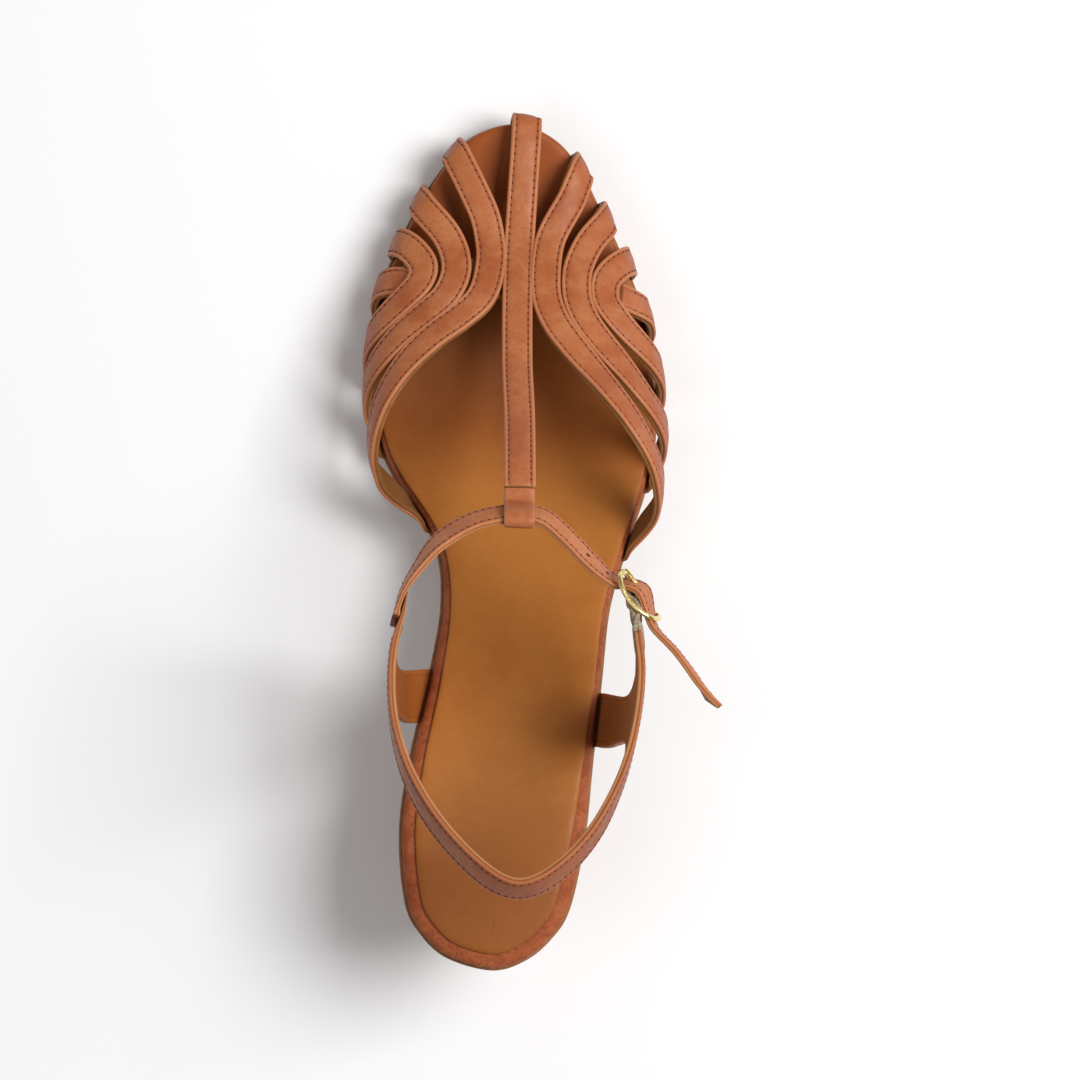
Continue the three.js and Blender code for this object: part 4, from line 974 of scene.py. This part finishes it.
class Quarter:
    def __init__(self, side, foot, rows):
        self.side, self.foot, self.rows = side, foot * FOOT, rows
        own = back["middle"][back["middle"][:, 0] * side > 12]
        self.line = own[np.argsort(own[:, 1])]
        self.tuck = 5
        self.end = self.tuck + len(rows) - 1

    def point(self, at, across):
        if at < self.tuck:
            return self.tuck_point(at, across)
        up, out, slide, wide = flow(self.rows, at - self.tuck)
        y = self.foot + slide * FOOT + across * HALF_QUARTER * wide
        rim = rims[self.side].half_width(y) + RIM_CLEAR + QUARTER_MIDDLE
        strap_x, _, strap_z = read_at(y, self.line[:, 1], self.line)
        x = rim + out * (abs(strap_x) - rim)
        z = bed_line(y) + up * (strap_z - bed_line(y))
        return np.array([self.side * x, y, z])

    def tuck_point(self, at, across):
        y = self.foot + across * HALF_QUARTER
        rim = rims[self.side].half_width(y) + RIM_CLEAR + QUARTER_MIDDLE
        lower = bed_line(y) - BED - FIT
        share = at / self.tuck
        bend = min(max((share - 0.5) / 0.5, 0), 1) * math.pi / 2
        x = rim - LIP_RADIUS * (1 - math.sin(bend)) - TUCK * max(0.5 - share, 0) * 2
        z = lower + LIP_RADIUS * (1 - math.cos(bend))
        ease = smooth(share, 0.75, 1)
        top = self.point(self.tuck, across)
        return np.array([self.side * x, y, z]) * (1 - ease) + top * ease

    def normal(self, at, across):
        step = 0.04
        rise_way = self.point(min(at + step, self.end), across) - self.point(max(at - step, 0), across)
        wide_way = self.point(at, across + 0.05) - self.point(at, across - 0.05)
        return unit(np.cross(wide_way, rise_way) * self.side)

    def mesh(self, name, section, materials):
        _, places = even_samples(lambda at: (self.point(at, 0),), self.end, 0.8)
        points = []
        for k, at in enumerate(places):
            thick = 0.5 + 0.5 * smooth(k * 0.8, 9, 16)
            for u, h, *_ in section:
                across = u / HALF_QUARTER
                normal = self.normal(at, across)
                points.append(self.point(at, across) + normal * (h - QUARTER_MIDDLE) * thick)
        return skin(name, points, section, materials)

    def edge_stitches(self, stitches):
        for sign in (-1, 1):
            points, sides, ups = [], [], []
            for at in np.linspace(self.tuck + 1.2, self.end - 0.6, 60):
                across = sign * QUARTER_SEAM
                normal = self.normal(at, across)
                points.append(self.point(at, across) + normal * QUARTER_SEAM_LIFT)
                sides.append(unit(self.point(at, across + 0.05) - self.point(at, across)))
                ups.append(normal)
            stitches.line(points, sides, ups, BAND_PITCH)


QUARTER_LOWER = [
    (0, 0), (1.6, 0), (3.2, 0), (4.8, 0), (5.9, 0.02), (6.25, 0.12, 0, 0.7), (6.6, 0.02, 0.2),
    (7.3, 0.06, 0.5), (7.65, 0.24, 0.8), (7.75, 0.6, 0.6), (7.64, 0.98, 0, 0.8),
]
QUARTER_UPPER = [
    (7.64, 1.08, 0, 0.8), (7.75, 1.4, 0.6), (7.68, 1.84, 1), (7.35, 2.06, 1), (6.7, 2.1, 0.5),
    (6.25, 1.98, 0, 0.8), (5.9, 2.1, 0, 0.2), (4.8, 2.12), (3.2, 2.12), (1.6, 2.12), (0, 2.12),
]
for name, (side, foot, rows) in QUARTERS.items():
    quarter = Quarter(side, foot, rows)
    section = full_section(QUARTER_LOWER, QUARTER_UPPER)
    piece = quarter.mesh("quarter_" + name, section, [shaded_quarter_lining, strap_leather])
    place_piece(piece, "strap_leather", "upper_back")
    quarter.edge_stitches(ankle_stitches)


# Layers of the sole, as rings round the footbed's outline
STATIONS = 200


def outline_loop():
    share = np.arange(STATIONS + 1) / STATIONS
    y = FOOT * (1 + np.cos(np.pi * share)) / 2
    inner = [(-rims[-1].half_width(v), v) for v in y]
    outer = [(rims[1].half_width(v), v) for v in y[1:-1]]
    points = np.array([*inner, *outer[::-1]])
    tangent = np.roll(points, -2, 0) - np.roll(points, 2, 0)
    outward = unit(np.stack([tangent[:, 1], -tangent[:, 0]], 1))
    if outward[STATIONS // 2, 0] > 0:
        outward = -outward
    return points, outward


loop_points, loop_outward = outline_loop()


def ring_layer(name, profile, materials, base, columns=14, relief=None, follow=None, zones=None):
    count = len(loop_points)
    rings, marks = [], {"lip": [], "seam": []}
    for k, (inset, lift, *mark) in enumerate(profile):
        insets = np.full(count, float(inset))
        lifts = np.full(count, float(lift))
        if follow:
            insets, lifts = follow(k, insets, lifts)
        flat = loop_points - loop_outward * insets[:, None]
        z = np.array([base(v) for v in flat[:, 1]]) + lifts
        rings.append(np.column_stack([flat, z]))
        marks["lip"] += [mark[0] if mark else 0] * count
        marks["seam"] += [mark[1] if len(mark) > 1 else 0] * count
    points = list(np.concatenate(rings))
    faces = ring_faces(len(rings), count)[:-2]
    for ring, flip, which in ((0, 1, 0), (len(rings) - 1, -1, 1)):
        previous = None
        for k in range(STATIONS + 1):
            first, second = ring * count + k, ring * count + (count - k) % count
            row = [first] * (columns + 1)
            if k not in (0, STATIONS):
                a, b = points[first], points[second]
                for c in range(1, columns):
                    spot = a + (b - a) * (c / columns)
                    spot[2] = base(spot[1]) + profile[ring][1]
                    if relief:
                        spot[2] += relief(spot, c / columns, which)
                    row[c] = len(points)
                    points.append(spot)
                    marks["lip"].append(0)
                    marks["seam"].append(0)
                row[columns] = second
            if previous:
                for c in range(columns):
                    face = [previous[c], previous[c + 1], row[c + 1], row[c]]
                    face = list(dict.fromkeys(face))
                    if len(face) > 2:
                        faces.append(tuple(face[::flip]))
            previous = row
    for key, rule in (zones or {}).items():
        marks[key] = [rule(spot[1] / FOOT) for spot in points]
    return add_mesh(name, points, faces, materials, None, marks)


loop_way = np.cumsum(np.linalg.norm(np.diff(loop_points, axis=0, append=loop_points[:1]), axis=1))


# Small folds of the wrapping leather round the heel
def pleats(k, insets, lifts):
    share = 1 - smooth(loop_points[:, 1], 14, 42)
    fold = np.abs(np.sin(loop_way * math.pi / 4.3 + 1.3 * np.sin(loop_way / 9)))
    depth = 0.28 if -4.2 < lifts[0] < -0.2 else 0.05
    return insets - share * (fold - 0.6) * depth, lifts


RIM_PROFILE = [
    (9, 0), (5, 0), (3, -0.02), (2, -0.14), (1.25, -0.42), (0.62, -0.86), (0.22, -1.4),
    (0.04, -2), (0, -2.7), (0.04, -3.4), (0.2, -4), (0.55, -4.5), (1.1, -4.85), (2, -5), (8, -5),
]
piece = ring_layer("rim_wrap", RIM_PROFILE, [rim_leather], bed_line, follow=pleats)
place_piece(piece, "rim_leather", "footbed")

# Sock lining: how far its edge stays in from the rim, and where it folds over the toe
SOCK_ROWS = [
    (0, 4.1, 4.1), (0.12, 3.8, 3.6), (0.25, 3.3, 2.2), (0.35, 2.6, 1.5), (0.5, 1.6, 1.4),
    (0.65, 1.4, 1.2), (0.76, 0.9, 0.8), (0.84, 0, 0), (1, -0.45, -0.45),
]
sock_insets = {-1: Through(SOCK_ROWS, 1), 1: Through(SOCK_ROWS, 2)}
SOCK_PROFILE = [
    (9, 1.2), (5, 1.2), (2.4, 1.2), (1.2, 1.17), (0.6, 1.08), (0.2, 0.9, 0.4, 0),
    (0, 0.6, 0.3, 0.1), (0, 0.35, 0, 0.6), (0.1, 0.1, 0, 1), (0.3, 0, 0, 1), (5, 0, 0, 0),
]
TOE_DROP = [0, 0, 0, 0.1, 0.3, 0.7, 1.3, 2.1, 3, 3.7, 0]


# The sock's edge, in from the rim and folded down over the toe
def sock_edge(k, insets, lifts):
    share = loop_points[:, 1] / FOOT
    own = np.array([sock_insets[-1 if x < 0 else 1](v) for x, v in zip(loop_points[:, 0], share)])
    return insets + own, lifts - smooth(share, 0.8, 0.86) * TOE_DROP[k]


# Where the sock's painted light falls: painted shade at the heel, painted shade under the straps in
# the middle (partly foot wear), and painted reflected light from the red straps at the toe
SOCK_PAINTED_LIGHT = {
    "heel": lambda share: 1 - smooth(share, 0.08, 0.27),
    "middle": lambda share: smooth(share, 0.54, 0.66) * (1 - smooth(share, 0.74, 0.82)),
    "toe": lambda share: smooth(share, 0.74, 0.86),
}
piece = ring_layer(
    "sock", SOCK_PROFILE, [sock_leather], bed_line, follow=sock_edge, zones=SOCK_PAINTED_LIGHT)
place_piece(piece, "sock_leather", "sock_lining")


# Fine grooves under the ball, on the underside only
def tread(spot, across, which):
    if which == 0:
        return 0
    zone = smooth(spot[1], 120, 132) * (1 - smooth(spot[1], 218, 228))
    edge = smooth(min(across, 1 - across), 0.07, 0.14)
    wave = 0.5 + 0.5 * math.sin(spot[1] * 2 * math.pi / 4.2)
    return 0.7 * zone * edge * smooth(wave, 0.35, 0.75)


SOLE_PROFILE = [
    (8, SOLE), (0, SOLE), (-0.7, 3.14), (-0.93, 2.92), (-1, 2.5), (-1, 1.2), (-0.95, 0.6),
    (-0.75, 0.22), (-0.3, 0.02), (1, 0), (8, 0),
]
piece = ring_layer("sole", SOLE_PROFILE, [sole_rubber], sole_line, 20, tread)
place_piece(piece, "outsole", "outsole")


# Heel block and its lift
def seat_loop():
    points = []
    steps = 60
    top, inset, corner = SEAT_LENGTH, SEAT_INSET, SEAT_CORNER
    for side in (-1, 1):
        run = []
        for k in range(steps + 1):
            y = top * (1 - math.cos(math.pi / 2 * k / steps))
            x = side * max(rims[side].half_width(y) - inset, 0)
            run.append((x, y + inset * (1 - k / steps)))
        run = [p for p in run if p[1] < top - corner]
        edge_x = side * (rims[side].half_width(top - corner) - inset)
        for k in range(7):
            turn = math.pi / 2 * k / 6
            x = edge_x - side * corner * (1 - math.cos(turn))
            run.append((x, top - corner + corner * math.sin(turn)))
        points.append(run)
    left, right = points
    breast = np.linspace(right[-1][0], left[-1][0], 14)[1:-1]
    return np.array([*right[1:], *((x, top) for x in breast), *left[::-1]])


heel_size = Through(HEEL_ROWS, 1)
seat = seat_loop()


# A point of the seat drawn in towards the tread, where the share is 0
def heel_spot(point, share):
    length = TREAD_LENGTH + (SEAT_LENGTH - TREAD_LENGTH) * share
    wide = TREAD_SHARE + (1 - TREAD_SHARE) * share
    back_shift = (SEAT_LENGTH - TREAD_LENGTH) * 0.42 * (1 - share)
    return point[0] * wide, back_shift + point[1] / SEAT_LENGTH * length


def heel_rings():
    base = LIFT + FIT
    levels = 34
    rings = []
    tops = []
    for point in seat:
        top = sole_line(point[1]) - FIT
        for _ in range(4):
            share = heel_size((top - base) / (HEEL_HEIGHT - base))
            top = sole_line(heel_spot(point, share)[1]) - FIT
        tops.append(top)
    for level in range(levels + 1):
        t = level / levels
        ring = []
        for point, top in zip(seat, tops):
            z = base + (top - base) * t
            share = heel_size((z - base) / (HEEL_HEIGHT - base))
            x, y = heel_spot(point, share)
            ring.append((x, y, z))
        rings.append(np.array(ring))
    return rings


piece = loft("heel_cover", heel_rings(), [heel_leather])
place_piece(piece, "heel_leather", "heel_block")
lift_rings = []
for z, inset in ((0, 0.5), (0.35, 0.12), (0.7, 0), (4.4, 0), (4.8, 0.15), (LIFT, 0.5)):
    ring = np.array([heel_spot(point, 0) for point in seat])
    centre = ring.mean(0)
    reach = np.linalg.norm(ring - centre, axis=1, keepdims=True)
    ring = centre + (ring - centre) * (1 - inset / reach)
    lift_rings.append(np.column_stack([ring, np.full(len(ring), z)]))
piece = loft("top_lift", lift_rings, [lift_rubber])
place_piece(piece, "lift_rubber", "heel_top_lift")


# Buckle, its prong and the elastic
def buckle_seat():
    flat = ankle_frames([(*row[:3], BUCKLE_LEAN, 0) for row in STRAP_ROWS], 0.3)
    k = int(np.argmin(np.abs(flat["at"] - BUCKLE_ROW)))
    middle, face, edge = flat["middle"][k], flat["face"][k], flat["edge"][k]
    along = unit(np.cross(edge, face))
    turn = math.radians(BUCKLE_TURN)
    turned = along * math.cos(turn) + face * math.sin(turn)
    return middle + turned * BUCKLE_SHIFT, turned, edge, unit(np.cross(turned, edge))


seat_middle, seat_along, seat_edge, seat_face = buckle_seat()


def at_buckle(x, y, z):
    return seat_middle + seat_along * x + seat_edge * y + seat_face * z


# Height of the bowed frame along the strap
def bow(x):
    reach = (BUCKLE_LENGTH - WIRE) / 2
    return BOW * ((x / reach) ** 2 - 0.5)


def tube(points, radii, corners, along, squash=1.0):
    edge = unit(np.cross(seat_face, along))
    return circles(points, edge, np.cross(along, edge), radii, corners, squash)


def buckle_piece():
    length, width = BUCKLE_LENGTH - WIRE, BUCKLE_WIDTH - WIRE
    ring = []
    for turn in np.linspace(0, 2 * np.pi, 96, endpoint=False):
        x = math.copysign(abs(math.cos(turn)) ** 0.62, math.cos(turn)) * length / 2
        y = math.copysign(abs(math.sin(turn)) ** 0.62, math.sin(turn)) * width / 2
        ring.append(at_buckle(x, y, bow(x)))
    ring = np.array(ring)
    around = unit(np.roll(ring, -1, 0) - np.roll(ring, 1, 0))
    frame_rings = tube(ring, WIRE / 2, 16, around, 0.86)
    bar = np.array([at_buckle(0, y, bow(0)) for y in np.linspace(-width / 2, width / 2, 12)])
    bar_rings = tube(bar, CENTRE_BAR, 12, tangents(bar))
    points = [*frame_rings.reshape(-1, 3), *bar_rings.reshape(-1, 3)]
    faces = ring_faces(96, 16, joined=True) + ring_faces(12, 12, 96 * 16)
    return add_mesh("buckle_oval", points, faces, [brass])


place_piece(buckle_piece(), "buckle_metal", "buckle_frame")


# Prong, from under the centre bar out over the end of the frame
def prong_piece():
    near = (BUCKLE_LENGTH - WIRE) / 2
    top = bow(near) + CENTRE_BAR + PRONG / 2 - 0.07
    start = bow(0) + CENTRE_BAR + FIT
    line = curve_through([
        at_buckle(-1.3, 0, bow(0) - 0.4), at_buckle(-0.9, 0, bow(0) + 1.0),
        at_buckle(0.1, 0, start + 0.4), at_buckle(1.2, 0, (start + top) / 2),
        at_buckle(3.2, 0, top - 0.25), at_buckle(near - 1.2, 0, top - 0.05),
        at_buckle(near + 0.1, 0, top),
    ], 0.35)
    share = np.linspace(0, 1, len(line))
    radii = PRONG / 2 * np.minimum(1, 0.55 + 3 * (1 - share)) * np.minimum(1, 0.6 + 6 * share)
    return loft("buckle_tongue", tube(line, radii, 14, tangents(line)), [brass])


place_piece(prong_piece(), "buckle_metal", "buckle_prong")


# Elastic, from between the plies of the back strap round the centre bar and back
def elastic_piece():
    end, along, face = back["middle"][-1], back["along"][-1], back["face"][-1]
    radius = CENTRE_BAR + 0.95
    heart = at_buckle(0, 0, bow(0) - 0.2)
    way = unit(heart - end)
    apart = unit(np.cross(np.cross(way, face), way))
    spots = [end - along * 4 + face * 0.55, end + along * 0.5 + face * 0.8]
    spots.append(heart - way * 3.4 - apart * 0.85)
    for turn in np.linspace(-80, 80, 9):
        spoke = way * math.cos(math.radians(turn)) + apart * -math.sin(math.radians(turn))
        spots.append(heart + spoke * radius)
    spots.append(heart - way * 3.4 + apart * 0.85)
    spots += [end + along * 0.5 - face * 0.8, end - along * 4 - face * 0.55]
    line = curve_through(spots, 0.4)
    tangent = np.gradient(line, axis=0)
    faces = unit(np.cross(tangent, np.cross(apart, way)))
    frames = make_frames(line, faces, 3)
    top = [(3.8 - 0.4 * i, 0.75 - (0.16 if i % 2 else 0), 0, i % 2, 0) for i in range(20)]
    section = [*top, *((-row[0], -row[1], 0, row[3], 0) for row in top)]
    return sweep("elastic_band", frames, section, [elastic_weave])


place_piece(elastic_piece(), "elastic", "elastic_loop")

place_piece(front_stitches.build("front_stitches"), "strap_leather", "upper_front")
place_piece(ankle_stitches.build("ankle_stitches"), "strap_leather", "ankle_strap")


# Floor, world and lights
def make_stage():
    mesh = bpy.data.meshes.new("floor")
    size = 6.0
    mesh.from_pydata(
        [(-size, -size, 0), (size, -size, 0), (size, size, 0), (-size, size, 0)],
        [], [(0, 1, 2, 3)])
    floor = bpy.data.objects.new("floor", mesh)
    bpy.context.scene.collection.objects.link(floor)
    material, nodes, shader = new_material("floor_paint")
    share = nodes.ramp(nodes.noise(3, 2), 0.3, 0.7)
    tone = nodes.mix(share, (0.86, 0.86, 0.86, 1), (0.84, 0.84, 0.84, 1))
    nodes.link(tone, shader.inputs["Base Color"])
    shader.inputs["Roughness"].default_value = 0.9
    mesh.materials.append(material)


def add_light(name, place, size, power):
    data = bpy.data.lights.new(name, "AREA")
    data.shape = "SQUARE"
    data.size = size
    data.energy = power
    light = bpy.data.objects.new(name, data)
    stand(light, [0.0, 1.0, 0.02], unit(np.array(place) - LIGHT_AIM), place)


LIGHT_AIM = (0, 0.07, 0.03)
make_stage()
world = bpy.data.worlds.new("studio")
bpy.context.scene.world = world
world.use_nodes = True
sky = world.node_tree.nodes["Background"]
sky.inputs["Color"].default_value = (1, 1, 1, 1)
sky.inputs["Strength"].default_value = 0.3
bpy.context.scene.view_settings.view_transform = "Standard"
add_light("key", (0.9, 0.36, 1.5), 0.9, 32)
add_light("fill", (-1.1, -0.4, 1.5), 1.2, 5)
